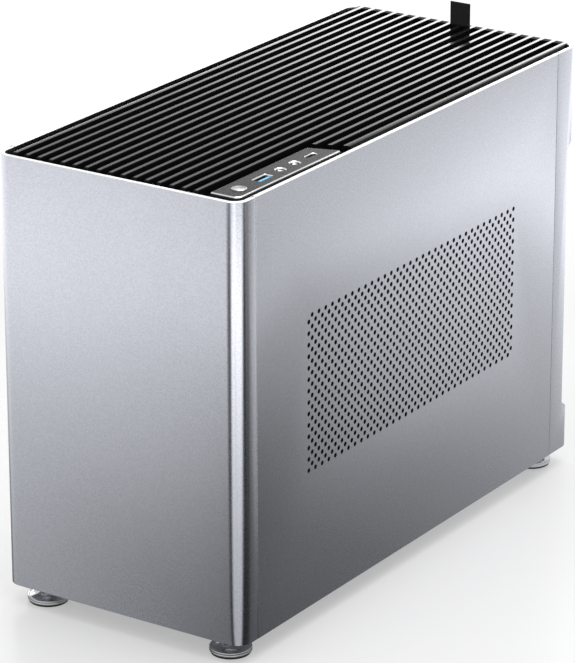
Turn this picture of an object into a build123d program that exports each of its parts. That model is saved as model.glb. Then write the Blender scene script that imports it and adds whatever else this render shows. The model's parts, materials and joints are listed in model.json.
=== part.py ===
from build123d import *
from math import sqrt
import os

# Small aluminium computer tower: a four-piece shell round a steel chassis, with a lift-off top grille.
# X runs to the right, Y to the rear and Z up, in millimetres.
# The origin is on the floor under the shell's middle.

# ---- Driving dimensions --------------------------------------------------------------------------

# Shell
WIDTH = 170.5
DEPTH = 377.5
SHELL_HEIGHT = 269.0
FOOT_HEIGHT = 12.5
WALL = 2.9
CORNER_RADIUS = 9.4
EDGE_BEVEL = 0.35
FRONT_SEAM = 16.3  # front face to the joint with the side panels
REAR_SEAM = 26.3  # rear face to the joint with the side panels
SEAM_GAP = 0.3
GROOVE_WIDTH = 1.2
GROOVE_DEPTH = 3.0
GROOVE_FLOOR = 6.0  # height above the shell's bottom edge where the grooves stop
TONGUE_THICKNESS = 1.0
TONGUE_LENGTH = 2.9
PORT_RADIUS = 3.6  # screw ports in the corners of the two extrusions
PORT_HEIGHT = 60.0
PORT_INSET = 4.2

# Cut-back in the rear frame
WINDOW_DEPTH = 11.5
WINDOW_LOW = 27.0
WINDOW_HIGH = 208.0

# Round holes in the side panels: a 45 degree stagger
HOLE_DIAMETER = 2.8
HOLE_SPACING = 5.0
HOLE_COLUMNS = 66
HOLE_HALF_ROWS = 28
FIELD_CENTRE = 184.6  # from the front face

# Top grille
FIN_COUNT = 19
FIN_PITCH = 8.41
FIN_WIDTH = 2.8
FIN_BEVEL = 0.3
GRILLE_DROP = 0.3  # rim to fin tops
GRILLE_DEPTH = 14.0
GRILLE_BASE = 3.0
GRILLE_HALF = 79.4
GRILLE_FRONT = 5.6
FIN_FRONT = 7.3
SHOULDER_WIDTH = 5.0
SHOULDER_RADIUS = 3.2
KERB_WIDTH = 1.6
KERB_DROP = 4.0
NOSE_RADIUS = 2.0
REAR_BAR = 4.0
REAR_BAR_HALF = 77.6
POCKET_SIDE = 56.4
POCKET_END = 111.8  # where the pocket's slanted end meets its side, from the front face
POCKET_SLOPE = 0.44

# Pull ribbon
RIBBON_WIDTH = 14.4
RIBBON_THICKNESS = 1.2
RIBBON_CENTRE = -0.8
RIBBON_RISE = 14.5
RIBBON_ROOT = 9.0

# I/O strip
STRIP_DROP = 0.9
STRIP_THICKNESS = 6.0
STRIP_INNER = 58.3
STRIP_OUTER = 77.5
STRIP_FRONT = 11.0
STRIP_END = 108.8
STRIP_SLOPE = 0.325
STRIP_CORNER = 5.0
STRIP_BEVEL = 1.2
INLAY_THICKNESS = 1.0
CONTROL_LINE = 67.8  # X of the row of controls
BUTTON_AT = 25.6  # controls, from the front face
USB_A_AT = 48.8
JACK_PLACES = (67.1, 81.8)
USB_C_AT = 98.2
BUTTON_DIAMETER = 9.0
BUTTON_PROUD = 0.5

# Feet
FOOT_RADIUS = 12.6
NECK_RADIUS = 4.8
FOOT_X = 66.0
FOOT_INSET = 16.4
RING_HEIGHT = 1.3

# Chassis
PLATE = 1.2
FLOOR_THICKNESS = 1.5
FLOOR_INSET = 1.5
REAR_PANEL_INSET = 14.0
TRAY_X = 61.0
FAN_SIZE = 120.0
FAN_DEPTH = 25.0
TOP_FAN_X = -2.0

# Motherboard
BOARD = 170.0
BOARD_THICKNESS = 1.6
STANDOFF = 6.5
BOARD_BOTTOM = 62.0
BOARD_GAP = 1.75  # board's rear edge to the rear panel's outer face

# Power supply
SUPPLY = (63.5, 100.0, 125.0)
SUPPLY_CORNER = (15.5, -152.0, 104.0)

# ---- Derived places ------------------------------------------------------------------------------

RIGHT = WIDTH / 2
FRONT = -DEPTH / 2
REAR = DEPTH / 2
BOTTOM = FOOT_HEIGHT
RIM = FOOT_HEIGHT + SHELL_HEIGHT
INNER_X = RIGHT - WALL
PANEL_FRONT = FRONT + FRONT_SEAM + SEAM_GAP / 2
PANEL_REAR = REAR - REAR_SEAM - SEAM_GAP / 2
HOLE_STEP = HOLE_SPACING / sqrt(2)
GRILLE_TOP = RIM - GRILLE_DROP
GRILLE_BOTTOM = RIM - GRILLE_DEPTH
STRIP_TOP = RIM - STRIP_DROP
STRIP_BOTTOM = STRIP_TOP - STRIP_THICKNESS
FLOOR_BOTTOM = BOTTOM + FLOOR_INSET
FLOOR_TOP = FLOOR_BOTTOM + FLOOR_THICKNESS
FILTER_BOTTOM = GRILLE_BOTTOM - 1.0
TOP_TRAY_BOTTOM = FILTER_BOTTOM - 0.3 - PLATE
REAR_PANEL_OUT = REAR - REAR_PANEL_INSET
REAR_PANEL_IN = REAR_PANEL_OUT - PLATE
BOARD_BACK = TRAY_X - STANDOFF
BOARD_FACE = BOARD_BACK - BOARD_THICKNESS
BOARD_REAR = REAR_PANEL_OUT - BOARD_GAP - PLATE
BOARD_FRONT = BOARD_REAR - BOARD
BOARD_TOP = BOARD_BOTTOM + BOARD

MIN3 = (Align.MIN, Align.MIN, Align.MIN)
BASE = (Align.CENTER, Align.CENTER, Align.MIN)

os.makedirs("parts", exist_ok=True)


# ---- Helpers that draw in the current part or sketch ---------------------------------------------


def cuboid(x, y, z, mode=Mode.ADD):
    """A box between two corners, given as (low, high) pairs."""
    with Locations((x[0], y[0], z[0])):
        Box(x[1] - x[0], y[1] - y[0], z[1] - z[0], align=MIN3, mode=mode)


def rod(start, direction, radius, length, mode=Mode.ADD):
    """A cylinder from a start point along a direction."""
    with Locations(Plane(origin=start, z_dir=direction)):
        Cylinder(radius, length, align=BASE, mode=mode)


def shell_ring():
    """The shell's wall seen from above."""
    RectangleRounded(WIDTH, DEPTH, CORNER_RADIUS)
    RectangleRounded(WIDTH - 2 * WALL, DEPTH - 2 * WALL, CORNER_RADIUS - WALL, mode=Mode.SUBTRACT)


def inner_outline(gap):
    """The shell's inside seen from above, less a gap all round."""
    RectangleRounded(WIDTH - 2 * (WALL + gap), DEPTH - 2 * (WALL + gap), CORNER_RADIUS - WALL - gap)


def pocket_outline(margin, mode=Mode.SUBTRACT):
    """The corner that the grille leaves free for the I/O strip, grown by a margin."""
    side = POCKET_SIDE - margin
    far = RIGHT + WALL
    end = FRONT + POCKET_END + margin
    slanted_end = end + (far - side) * POCKET_SLOPE
    corners = ((side, FRONT), (side, end), (far, slanted_end), (far, FRONT))
    Polygon(*corners, align=None, mode=mode)


def grille_outline(inset):
    """The grille seen from above, with its front corners rounded and its rear end stepped in."""
    half = GRILLE_HALF - inset
    front = FRONT + GRILLE_FRONT + inset
    step = REAR - WALL - REAR_BAR - inset
    with Locations((0, (front + step) / 2)):
        main = Rectangle(2 * half, step - front)
    fillet(main.vertices().group_by(Axis.Y)[0], CORNER_RADIUS - REAR_BAR)
    with Locations((0, step)):
        Rectangle(2 * (REAR_BAR_HALF - inset), REAR - inset - step, align=(Align.CENTER, Align.MIN))
    pocket_outline(inset)


# ---- Shell ---------------------------------------------------------------------------------------

# Front cover: one U-shaped extrusion, bevelled at its ends, grooved for the side panels' tongues.
with BuildPart() as front_cover:
    with BuildSketch(Plane.XY.offset(BOTTOM)):
        shell_ring()
        with Locations((0, FRONT)):
            Rectangle(WIDTH, 2 * FRONT_SEAM - SEAM_GAP, mode=Mode.INTERSECT)
    extrude(amount=SHELL_HEIGHT)
    ends = front_cover.edges().group_by(Axis.Z)
    chamfer([e for e in ends[0] + ends[-1] if e.length > 2 * WALL], EDGE_BEVEL)
    with BuildSketch(Plane.XY.offset(BOTTOM + GROOVE_FLOOR)):
        with GridLocations(WIDTH - WALL, 0, 2, 1):
            with Locations((0, PANEL_FRONT - SEAM_GAP)):
                Rectangle(GROOVE_WIDTH, GROOVE_DEPTH, align=(Align.CENTER, Align.MAX))
    extrude(amount=SHELL_HEIGHT, mode=Mode.SUBTRACT)
    for side in (-1, 1):
        port = (side * (INNER_X - PORT_INSET), FRONT + WALL + PORT_INSET, FLOOR_TOP)
        rod(port, (0, 0, 1), PORT_RADIUS, PORT_HEIGHT)
        rod(port, (0, 0, 1), 1.4, PORT_HEIGHT / 3, mode=Mode.SUBTRACT)
front_cover.part.label = "front_cover"
export_step(front_cover.part, "parts/front_cover.step")

# Rear frame: the same extrusion turned round, cut back along most of its height so plugs can pass.
with BuildPart() as rear_frame:
    with BuildSketch(Plane.XY.offset(BOTTOM)):
        shell_ring()
        with Locations((0, REAR)):
            Rectangle(WIDTH, 2 * REAR_SEAM - SEAM_GAP, mode=Mode.INTERSECT)
    extrude(amount=SHELL_HEIGHT)
    ends = rear_frame.edges().group_by(Axis.Z)
    chamfer([e for e in ends[0] + ends[-1] if e.length > 2 * WALL], EDGE_BEVEL)
    with BuildSketch(Plane.XY.offset(BOTTOM + GROOVE_FLOOR)):
        with GridLocations(WIDTH - WALL, 0, 2, 1):
            with Locations((0, PANEL_REAR + SEAM_GAP)):
                Rectangle(GROOVE_WIDTH, GROOVE_DEPTH, align=(Align.CENTER, Align.MIN))
    extrude(amount=SHELL_HEIGHT, mode=Mode.SUBTRACT)
    for side in (-1, 1):
        port = (side * (INNER_X - PORT_INSET), REAR - WALL - PORT_INSET, FLOOR_TOP)
        rod(port, (0, 0, 1), PORT_RADIUS, WINDOW_LOW - WALL - PLATE)
        rod(port, (0, 0, 1), 1.4, PORT_HEIGHT / 3, mode=Mode.SUBTRACT)
    with BuildSketch(Plane.YZ) as window:
        with Locations((REAR - WINDOW_DEPTH, BOTTOM + WINDOW_LOW)):
            Rectangle(2 * WINDOW_DEPTH, WINDOW_HIGH - WINDOW_LOW, align=(Align.MIN, Align.MIN))
        low_corner, high_corner = window.vertices().group_by(Axis.X)[0].sort_by(Axis.Y)
        fillet(low_corner, 1.5)
        fillet(window.vertices().group_by(Axis.X)[0].sort_by(Axis.Y)[-1], 8.0)
    extrude(amount=WIDTH, both=True, mode=Mode.SUBTRACT)
    seat = REAR_BAR_HALF + 0.4
    cuboid((-seat, seat), (REAR - WALL - 1, REAR + 1), (GRILLE_BOTTOM - 0.3, RIM + 1), mode=Mode.SUBTRACT)
rear_frame.part.label = "rear_frame"
export_step(rear_frame.part, "parts/rear_frame.step")

# Side panels: flat plates with a staggered field of round holes and a tongue along each upright edge.
hole_places = [
    (
        FRONT + FIELD_CENTRE + (column - (HOLE_COLUMNS - 1) / 2) * HOLE_STEP,
        BOTTOM + SHELL_HEIGHT / 2 + ((HOLE_HALF_ROWS - 1) / 2 - row) * HOLE_STEP,
    )
    for column in range(HOLE_COLUMNS)
    for row in range((column + 1) % 2, HOLE_HALF_ROWS, 2)
]
with BuildPart() as side_panel_right:
    cuboid((INNER_X, RIGHT), (PANEL_FRONT, PANEL_REAR), (BOTTOM, RIM))
    ends = side_panel_right.edges().filter_by(Axis.Y).group_by(Axis.Z)
    chamfer(ends[0] + ends[-1], EDGE_BEVEL)
    middle = INNER_X + WALL / 2
    tongue_x = (middle - TONGUE_THICKNESS / 2, middle + TONGUE_THICKNESS / 2)
    tongue_z = (BOTTOM + GROOVE_FLOOR + 0.1, RIM - EDGE_BEVEL)
    cuboid(tongue_x, (PANEL_FRONT - TONGUE_LENGTH, PANEL_REAR + TONGUE_LENGTH), tongue_z)
    with BuildSketch(Plane.YZ.offset(INNER_X)):
        with Locations(hole_places):
            Circle(HOLE_DIAMETER / 2)
    extrude(amount=WALL, mode=Mode.SUBTRACT)
side_panel_right.part.label = "side_panel_right"
export_step(side_panel_right.part, "parts/side_panel_right.step")

with BuildPart() as side_panel_left:
    mirror(side_panel_right.part, about=Plane.YZ)
side_panel_left.part.label = "side_panel_left"
export_step(side_panel_left.part, "parts/side_panel_left.step")

# ---- Top grille ----------------------------------------------------------------------------------

fin_places = [(index - (FIN_COUNT - 1) / 2) * FIN_PITCH for index in range(FIN_COUNT)]
fin_height = GRILLE_DEPTH - GRILLE_DROP - 1.0

# Fins run front to back on a slotted base. The two outer ones are wider, with a rounded shoulder.
with BuildPart() as top_grille:
    with BuildSketch(Plane.XZ.offset(-REAR)) as fin_ends:
        with Locations([(x, GRILLE_TOP) for x in fin_places[1:-1]]):
            Rectangle(FIN_WIDTH, fin_height, align=(Align.CENTER, Align.MAX))
        chamfer(fin_ends.vertices().group_by(Axis.Y)[-1], FIN_BEVEL)
    extrude(amount=REAR - FRONT - FIN_FRONT)
    for side in (-1, 1):
        with BuildSketch(Plane.XZ.offset(-REAR)) as shoulder:
            with Locations((side * (GRILLE_HALF - SHOULDER_WIDTH / 2), GRILLE_TOP)):
                Rectangle(SHOULDER_WIDTH, fin_height, align=(Align.CENTER, Align.MAX))
            top_corners = shoulder.vertices().group_by(Axis.Y)[-1].sort_by(lambda v: abs(v.X))
            fillet(top_corners[-1], SHOULDER_RADIUS)
        extrude(amount=REAR - FRONT - FIN_FRONT)
    with BuildSketch(Plane.YZ):
        with Locations((FRONT + FIN_FRONT, GRILLE_TOP)):
            Rectangle(NOSE_RADIUS, NOSE_RADIUS, align=(Align.MIN, Align.MAX))
        with Locations((FRONT + FIN_FRONT + NOSE_RADIUS, GRILLE_TOP - NOSE_RADIUS)):
            Circle(NOSE_RADIUS, mode=Mode.SUBTRACT)
    extrude(amount=WIDTH, both=True, mode=Mode.SUBTRACT)
    with BuildSketch(Plane.XY.offset(GRILLE_BOTTOM)):
        Rectangle(2 * WIDTH, 2 * DEPTH)
        grille_limit = (FRONT + GRILLE_FRONT, REAR - WALL - REAR_BAR)
        with Locations((0, sum(grille_limit) / 2)):
            Rectangle(2 * GRILLE_HALF, grille_limit[1] - grille_limit[0], mode=Mode.SUBTRACT)
        with Locations((0, REAR)):
            Rectangle(2 * REAR_BAR_HALF, 4 * REAR_BAR, mode=Mode.SUBTRACT)
    extrude(amount=GRILLE_DEPTH, mode=Mode.SUBTRACT)
    with BuildSketch(Plane.XY.offset(GRILLE_BOTTOM)):
        pocket_outline(KERB_WIDTH, mode=Mode.ADD)
    extrude(amount=GRILLE_DEPTH, mode=Mode.SUBTRACT)
    with BuildSketch(Plane.XY.offset(GRILLE_BOTTOM)):
        grille_outline(0)
    extrude(amount=GRILLE_BASE)
    with BuildSketch(Plane.XY.offset(GRILLE_BOTTOM)):
        grille_outline(0)
        offset(amount=-KERB_WIDTH, kind=Kind.INTERSECTION, mode=Mode.SUBTRACT)
    extrude(amount=GRILLE_DEPTH - KERB_DROP)
    bar_z = (GRILLE_BOTTOM, GRILLE_TOP)
    cuboid((-REAR_BAR_HALF, REAR_BAR_HALF), (REAR - REAR_BAR, REAR), bar_z)
    slot_width = FIN_PITCH - FIN_WIDTH - 0.4
    with BuildSketch(Plane.XY.offset(GRILLE_BOTTOM)):
        with GridLocations(FIN_PITCH, 44.0, FIN_COUNT - 1, 8):
            SlotOverall(38.0, slot_width, rotation=90)
        pocket_outline(2 * KERB_WIDTH)
    extrude(amount=GRILLE_BASE, mode=Mode.SUBTRACT)
    slit_x = (RIBBON_CENTRE - RIBBON_WIDTH / 2 - 0.3, RIBBON_CENTRE + RIBBON_WIDTH / 2 + 0.3)
    slit_y = (REAR - 2.7, REAR - 1.3)
    cuboid(slit_x, slit_y, (RIM - RIBBON_ROOT, RIM), mode=Mode.SUBTRACT)
top_grille.part.label = "top_grille"
export_step(top_grille.part, "parts/top_grille.step")

# Dust filter: a thin framed sheet under the grille.
with BuildPart() as dust_filter:
    with BuildSketch(Plane.XY.offset(FILTER_BOTTOM)):
        grille_outline(2.4)
        with Locations((0, REAR)):
            Rectangle(WIDTH, 2 * WALL + 1.0, mode=Mode.SUBTRACT)
    extrude(amount=GRILLE_BOTTOM - FILTER_BOTTOM)
dust_filter.part.label = "dust_filter"
export_step(dust_filter.part, "parts/dust_filter.step")

# Pull ribbon: a folded band standing in a slit in the grille's rear bar.
with BuildPart() as pull_ribbon:
    ribbon_x = (RIBBON_CENTRE - RIBBON_WIDTH / 2, RIBBON_CENTRE + RIBBON_WIDTH / 2)
    ribbon_y = (REAR - 2.0 - RIBBON_THICKNESS / 2, REAR - 2.0 + RIBBON_THICKNESS / 2)
    cuboid(ribbon_x, ribbon_y, (RIM - RIBBON_ROOT, RIM + RIBBON_RISE))
    top_edges = pull_ribbon.edges().filter_by(Axis.X).group_by(Axis.Z)[-1]
    fillet(top_edges, RIBBON_THICKNESS / 2 - 0.05)
pull_ribbon.part.label = "pull_ribbon"
export_step(pull_ribbon.part, "parts/pull_ribbon.step")

# ---- I/O strip -----------------------------------------------------------------------------------


def strip_outline(front_inset):
    """The strip from above: rounded outer corner, slanted rear end, inset along its front and outer sides."""
    outer = STRIP_OUTER - front_inset
    front = FRONT + STRIP_FRONT + front_inset
    end = FRONT + STRIP_END
    slanted_end = end + (outer - STRIP_INNER) * STRIP_SLOPE
    corners = ((STRIP_INNER, front), (STRIP_INNER, end), (outer, slanted_end), (outer, front))
    outline = Polygon(*corners, align=None)
    fillet(outline.vertices().sort_by(lambda v: v.X - v.Y)[-1], STRIP_CORNER - front_inset)


def strip_holes(mode=Mode.ADD):
    """The openings for the strip's controls."""
    with Locations((CONTROL_LINE, FRONT + BUTTON_AT)):
        Circle(BUTTON_DIAMETER / 2 + 0.3, mode=mode)
    with Locations((CONTROL_LINE, FRONT + USB_A_AT)):
        RectangleRounded(6.6, 14.0, 0.8, mode=mode)
    with Locations([(CONTROL_LINE, FRONT + place) for place in JACK_PLACES]):
        Circle(3.6, mode=mode)
    with Locations((CONTROL_LINE, FRONT + USB_C_AT)):
        SlotOverall(10.6, 4.6, rotation=90, mode=mode)


# Body with a broad bright bevel round its front and outer sides.
with BuildPart() as io_bezel:
    with BuildSketch(Plane.XY.offset(STRIP_BOTTOM)):
        strip_outline(0)
    extrude(amount=STRIP_THICKNESS)
    top_face = io_bezel.faces().sort_by(Axis.Z)[-1]
    front_and_outer = top_face.edges().filter_by(
        lambda e: e.center().X > STRIP_INNER + 1 and e.center().Y < FRONT + STRIP_END
    )
    chamfer(front_and_outer, STRIP_BEVEL)
    with BuildSketch(Plane.XY.offset(STRIP_TOP - INLAY_THICKNESS)):
        strip_outline(STRIP_BEVEL)
    extrude(amount=INLAY_THICKNESS, mode=Mode.SUBTRACT)
    with BuildSketch(Plane.XY.offset(STRIP_BOTTOM)):
        strip_holes()
    extrude(amount=STRIP_THICKNESS, mode=Mode.SUBTRACT)
    tray_top = TOP_TRAY_BOTTOM + PLATE
    for place in (STRIP_FRONT + 4.0, STRIP_END - 0.5):
        rod((CONTROL_LINE, FRONT + place, tray_top), (0, 0, 1), 2.3, STRIP_BOTTOM - tray_top)
io_bezel.part.label = "io_bezel"
export_step(io_bezel.part, "parts/io_bezel.step")

# Dark inlay plate on top of the body.
with BuildPart() as io_plate:
    with BuildSketch(Plane.XY.offset(STRIP_TOP - INLAY_THICKNESS)):
        strip_outline(STRIP_BEVEL)
        strip_holes(Mode.SUBTRACT)
    extrude(amount=INLAY_THICKNESS)
io_plate.part.label = "io_plate"
export_step(io_plate.part, "parts/io_plate.step")

IO_BOARD_TOP = STRIP_TOP - 20.6
button_centre = (CONTROL_LINE, FRONT + BUTTON_AT)

# Power button: a bevelled disc held under the strip by a flange.
with BuildPart() as power_button:
    flange_bottom = STRIP_BOTTOM - 2.6
    rod((*button_centre, flange_bottom), (0, 0, 1), BUTTON_DIAMETER / 2 + 1.2, 2.3)
    cap_height = STRIP_TOP + BUTTON_PROUD - flange_bottom
    rod((*button_centre, flange_bottom), (0, 0, 1), BUTTON_DIAMETER / 2, cap_height)
    chamfer(power_button.faces().sort_by(Axis.Z)[-1].edges(), BUTTON_PROUD - 0.1)
power_button.part.label = "power_button"
export_step(power_button.part, "parts/power_button.step")

# Tactile switch under the button.
with BuildPart() as power_switch:
    with Locations((*button_centre, IO_BOARD_TOP)):
        Box(6.0, 6.0, 8.0, align=BASE)
    rod((*button_centre, IO_BOARD_TOP + 8.0), (0, 0, 1), 1.7, flange_bottom - 1.2 - IO_BOARD_TOP - 8.0)
power_switch.part.label = "power_switch"
export_step(power_switch.part, "parts/power_switch.step")

# USB-A socket: a metal shell, flush with the plate, and the tongue inside it.
with BuildPart() as usb_a_shell:
    with BuildSketch(Plane.XY.offset(IO_BOARD_TOP)):
        with Locations((CONTROL_LINE, FRONT + USB_A_AT)):
            RectangleRounded(6.6, 14.0, 0.8)
    extrude(amount=STRIP_TOP - IO_BOARD_TOP)
    with BuildSketch(Plane.XY.offset(STRIP_TOP)):
        with Locations((CONTROL_LINE, FRONT + USB_A_AT)):
            RectangleRounded(5.1, 12.5, 0.4)
    extrude(amount=-14.0, mode=Mode.SUBTRACT)
    mouth = usb_a_shell.faces().sort_by(Axis.Z)[-1].inner_wires()[0].edges()
    chamfer(mouth, 0.55)
usb_a_shell.part.label = "usb_a_shell"
export_step(usb_a_shell.part, "parts/usb_a_shell.step")

with BuildPart() as usb_a_tongue:
    with Locations((CONTROL_LINE + 1.3, FRONT + USB_A_AT, STRIP_TOP - 14.0)):
        Box(1.9, 11.1, 12.6, align=BASE)
usb_a_tongue.part.label = "usb_a_tongue"
export_step(usb_a_tongue.part, "parts/usb_a_tongue.step")

# Two headset jacks: a bevelled ring round a sleeve with a 3.6 mm bore.
with BuildPart() as audio_jacks:
    for place in JACK_PLACES:
        centre = (CONTROL_LINE, FRONT + place)
        rod((*centre, IO_BOARD_TOP), (0, 0, 1), 3.6, STRIP_TOP - IO_BOARD_TOP)
        with Locations((*centre, STRIP_TOP)):
            Cone(1.9, 3.2, 1.1, align=(Align.CENTER, Align.CENTER, Align.MAX), mode=Mode.SUBTRACT)
        rod((*centre, STRIP_TOP - 14.5), (0, 0, 1), 1.8, 14.5, mode=Mode.SUBTRACT)
audio_jacks.part.label = "audio_jacks"
export_step(audio_jacks.part, "parts/audio_jacks.step")

# USB-C socket: a rounded metal shell and the tongue inside it.
with BuildPart() as usb_c_shell:
    with BuildSketch(Plane.XY.offset(IO_BOARD_TOP)):
        with Locations((CONTROL_LINE, FRONT + USB_C_AT)):
            SlotOverall(10.6, 4.6, rotation=90)
    extrude(amount=STRIP_TOP - IO_BOARD_TOP)
    with BuildSketch(Plane.XY.offset(STRIP_TOP)):
        with Locations((CONTROL_LINE, FRONT + USB_C_AT)):
            SlotOverall(8.9, 3.0, rotation=90)
    extrude(amount=-7.0, mode=Mode.SUBTRACT)
    chamfer(usb_c_shell.faces().sort_by(Axis.Z)[-1].inner_wires()[0].edges(), 0.5)
usb_c_shell.part.label = "usb_c_shell"
export_step(usb_c_shell.part, "parts/usb_c_shell.step")

with BuildPart() as usb_c_tongue:
    with Locations((CONTROL_LINE, FRONT + USB_C_AT, STRIP_TOP - 7.0)):
        Box(0.8, 6.7, 6.0, align=BASE)
usb_c_tongue.part.label = "usb_c_tongue"
export_step(usb_c_tongue.part, "parts/usb_c_tongue.step")

# Small board that carries the strip's sockets, hung below the fan tray.
with BuildPart() as io_board:
    cuboid((59.5, 77.5), (FRONT + 15.0, FRONT + 110.0), (IO_BOARD_TOP - 1.6, IO_BOARD_TOP))
    cuboid((65.0, 75.0), (FRONT + 100.0, FRONT + 108.0), (IO_BOARD_TOP - 13.6, IO_BOARD_TOP - 1.6))
io_board.part.label = "io_board"
export_step(io_board.part, "parts/io_board.step")

# ---- Feet ----------------------------------------------------------------------------------------

foot_places = [(x, y) for x in (-FOOT_X, FOOT_X) for y in (FRONT + FOOT_INSET, REAR - FOOT_INSET)]

# Each foot is a turned dish on a neck, with a fine groove round its rim and a screw hole up its middle.
with BuildPart() as feet:
    for x, y in foot_places:
        with BuildSketch(Plane.XZ.offset(-y)):
            with BuildLine():
                lip = FOOT_RADIUS - 0.5
                Polyline(
                    (x + 2.05, FLOOR_BOTTOM),
                    (x + 2.05, RING_HEIGHT),
                    (x + FOOT_RADIUS - 0.4, RING_HEIGHT),
                    (x + FOOT_RADIUS, RING_HEIGHT + 0.4),
                    (x + FOOT_RADIUS, RING_HEIGHT + 1.1),
                    (x + FOOT_RADIUS - 0.25, RING_HEIGHT + 1.25),
                    (x + FOOT_RADIUS, RING_HEIGHT + 1.4),
                    (x + FOOT_RADIUS, RING_HEIGHT + 2.4),
                    (x + lip, RING_HEIGHT + 2.8),
                    (x + lip - 0.7, RING_HEIGHT + 2.6),
                )
                Spline(
                    (x + lip - 0.7, RING_HEIGHT + 2.6),
                    (x + 7.6, RING_HEIGHT + 3.5),
                    (x + NECK_RADIUS, RING_HEIGHT + 7.6),
                )
                Polyline(
                    (x + NECK_RADIUS, RING_HEIGHT + 7.6),
                    (x + NECK_RADIUS, FLOOR_BOTTOM),
                    (x + 2.05, FLOOR_BOTTOM),
                )
            make_face()
        revolve(axis=Axis((x, y, 0), (0, 0, 1)))
feet.part.label = "feet"
export_step(feet.part, "parts/feet.step")

# Rubber rings under the feet.
with BuildPart() as foot_rings:
    with BuildSketch(Plane.XY):
        with Locations(foot_places):
            Circle(FOOT_RADIUS - 0.8)
            Circle(FOOT_RADIUS - 6.0, mode=Mode.SUBTRACT)
    extrude(amount=RING_HEIGHT)
foot_rings.part.label = "foot_rings"
export_step(foot_rings.part, "parts/foot_rings.step")

# ---- Chassis -------------------------------------------------------------------------------------

corner_screws = [
    (x * (INNER_X - PORT_INSET), y * (DEPTH / 2 - WALL - PORT_INSET)) for x in (-1, 1) for y in (-1, 1)
]

# Floor of the case, slotted under the graphics card, with a flange up each long side.
with BuildPart() as bottom_plate:
    with BuildSketch(Plane.XY.offset(FLOOR_BOTTOM)):
        inner_outline(0.2)
        with Locations(foot_places):
            Circle(2.05, mode=Mode.SUBTRACT)
        with Locations(corner_screws):
            Circle(1.7, mode=Mode.SUBTRACT)
        with Locations((0, 20.0)):
            with GridLocations(30.0, 7.0, 4, 34):
                SlotOverall(25.0, 3.4, mode=Mode.SUBTRACT)
    extrude(amount=FLOOR_THICKNESS)
    for side in (-1, 1):
        low = min(side * (INNER_X - 0.35), side * (INNER_X - 0.35 - PLATE))
        cuboid((low, low + PLATE), (PANEL_FRONT + 4, PANEL_REAR - 4), (FLOOR_TOP, FLOOR_TOP + 9.0))
bottom_plate.part.label = "bottom_plate"
export_step(bottom_plate.part, "parts/bottom_plate.step")

# Screws through the floor: down into the feet, and up into the corner ports of the two extrusions.
with BuildPart() as floor_screws:
    for x, y in foot_places:
        rod((x, y, FLOOR_TOP), (0, 0, 1), 3.6, 2.2)
        rod((x, y, FLOOR_BOTTOM - 8.0), (0, 0, 1), 2.0, 8.5 + FLOOR_THICKNESS)
    for x, y in corner_screws:
        rod((x, y, FLOOR_BOTTOM - 1.4), (0, 0, 1), 2.8, 1.4)
        rod((x, y, FLOOR_BOTTOM), (0, 0, 1), 1.35, 10.0)
floor_screws.part.label = "floor_screws"
export_step(floor_screws.part, "parts/floor_screws.step")

# Rear panel: socket aperture, two card slots, mains inlet opening and a field of vent holes.
APERTURE_X = (BOARD_FACE + 3.8 - 44.45, BOARD_FACE + 3.8)
APERTURE_Z = (76.5, 235.25)
INLET = (-48.0, 92.0)
CARD_SLOTS_Z = (65.4, 45.1)
thumb_places = [(-66.0, z) for z in CARD_SLOTS_Z]
with BuildPart() as rear_panel:
    cuboid((0.35 - INNER_X, INNER_X - 0.35), (REAR_PANEL_IN, REAR_PANEL_OUT), (FLOOR_TOP, TOP_TRAY_BOTTOM))
    cuboid(APERTURE_X, (REAR_PANEL_IN, REAR_PANEL_OUT), APERTURE_Z, mode=Mode.SUBTRACT)
    with BuildSketch(Plane.XZ.offset(-REAR_PANEL_OUT)):
        with Locations([(-5.0, z) for z in CARD_SLOTS_Z]):
            Rectangle(96.0, 13.0)
        with Locations(INLET):
            Rectangle(27.4, 20.2)
        with Locations(thumb_places):
            Circle(2.0)
        with Locations((-33.0, 167.0)):
            with GridLocations(6.5, 6.5, 12, 18):
                Circle(2.4)
    extrude(amount=PLATE, mode=Mode.SUBTRACT)
    for x in (-FOOT_X, FOOT_X):
        rod((x, REAR - FOOT_INSET, FLOOR_TOP), (0, 0, 1), 4.2, 3.0, mode=Mode.SUBTRACT)
rear_panel.part.label = "rear_panel"
export_step(rear_panel.part, "parts/rear_panel.step")

# Top tray: carries the two fans and is open under them and under the I/O strip.
fan_centres = [(TOP_FAN_X, y) for y in (-FAN_SIZE / 2 - 0.3, FAN_SIZE / 2 + 0.3)]
fan_screws = [(x + i * 52.5, y + j * 52.5) for x, y in fan_centres for i in (-1, 1) for j in (-1, 1)]
with BuildPart() as top_tray:
    with BuildSketch(Plane.XY.offset(TOP_TRAY_BOTTOM)):
        with BuildLine():
            edge = INNER_X - 0.4
            front_edge = FRONT + WALL + 0.4
            Polyline(
                (-edge, front_edge),
                (edge, front_edge),
                (edge, REAR_PANEL_OUT),
                (-edge, REAR_PANEL_OUT),
                close=True,
            )
        tray_face = make_face()
        fillet(tray_face.vertices().group_by(Axis.Y)[0], CORNER_RADIUS - WALL)
        with Locations(fan_centres):
            Circle(FAN_SIZE / 2 - 3.0, mode=Mode.SUBTRACT)
        with Locations(fan_screws):
            Circle(2.2, mode=Mode.SUBTRACT)
        with Locations((68.0, FRONT + 62.0)):
            Rectangle(16.0, 84.0, mode=Mode.SUBTRACT)
    extrude(amount=PLATE)
    tabs = [(-1, FRONT + 40.0), (-1, 60.0), (1, 60.0)]
    for side, y in tabs:
        low = min(side * edge, side * (edge - PLATE))
        cuboid((low, low + PLATE), (y, y + 30.0), (TOP_TRAY_BOTTOM - 8.0, TOP_TRAY_BOTTOM))
top_tray.part.label = "top_tray"
export_step(top_tray.part, "parts/top_tray.step")

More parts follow.
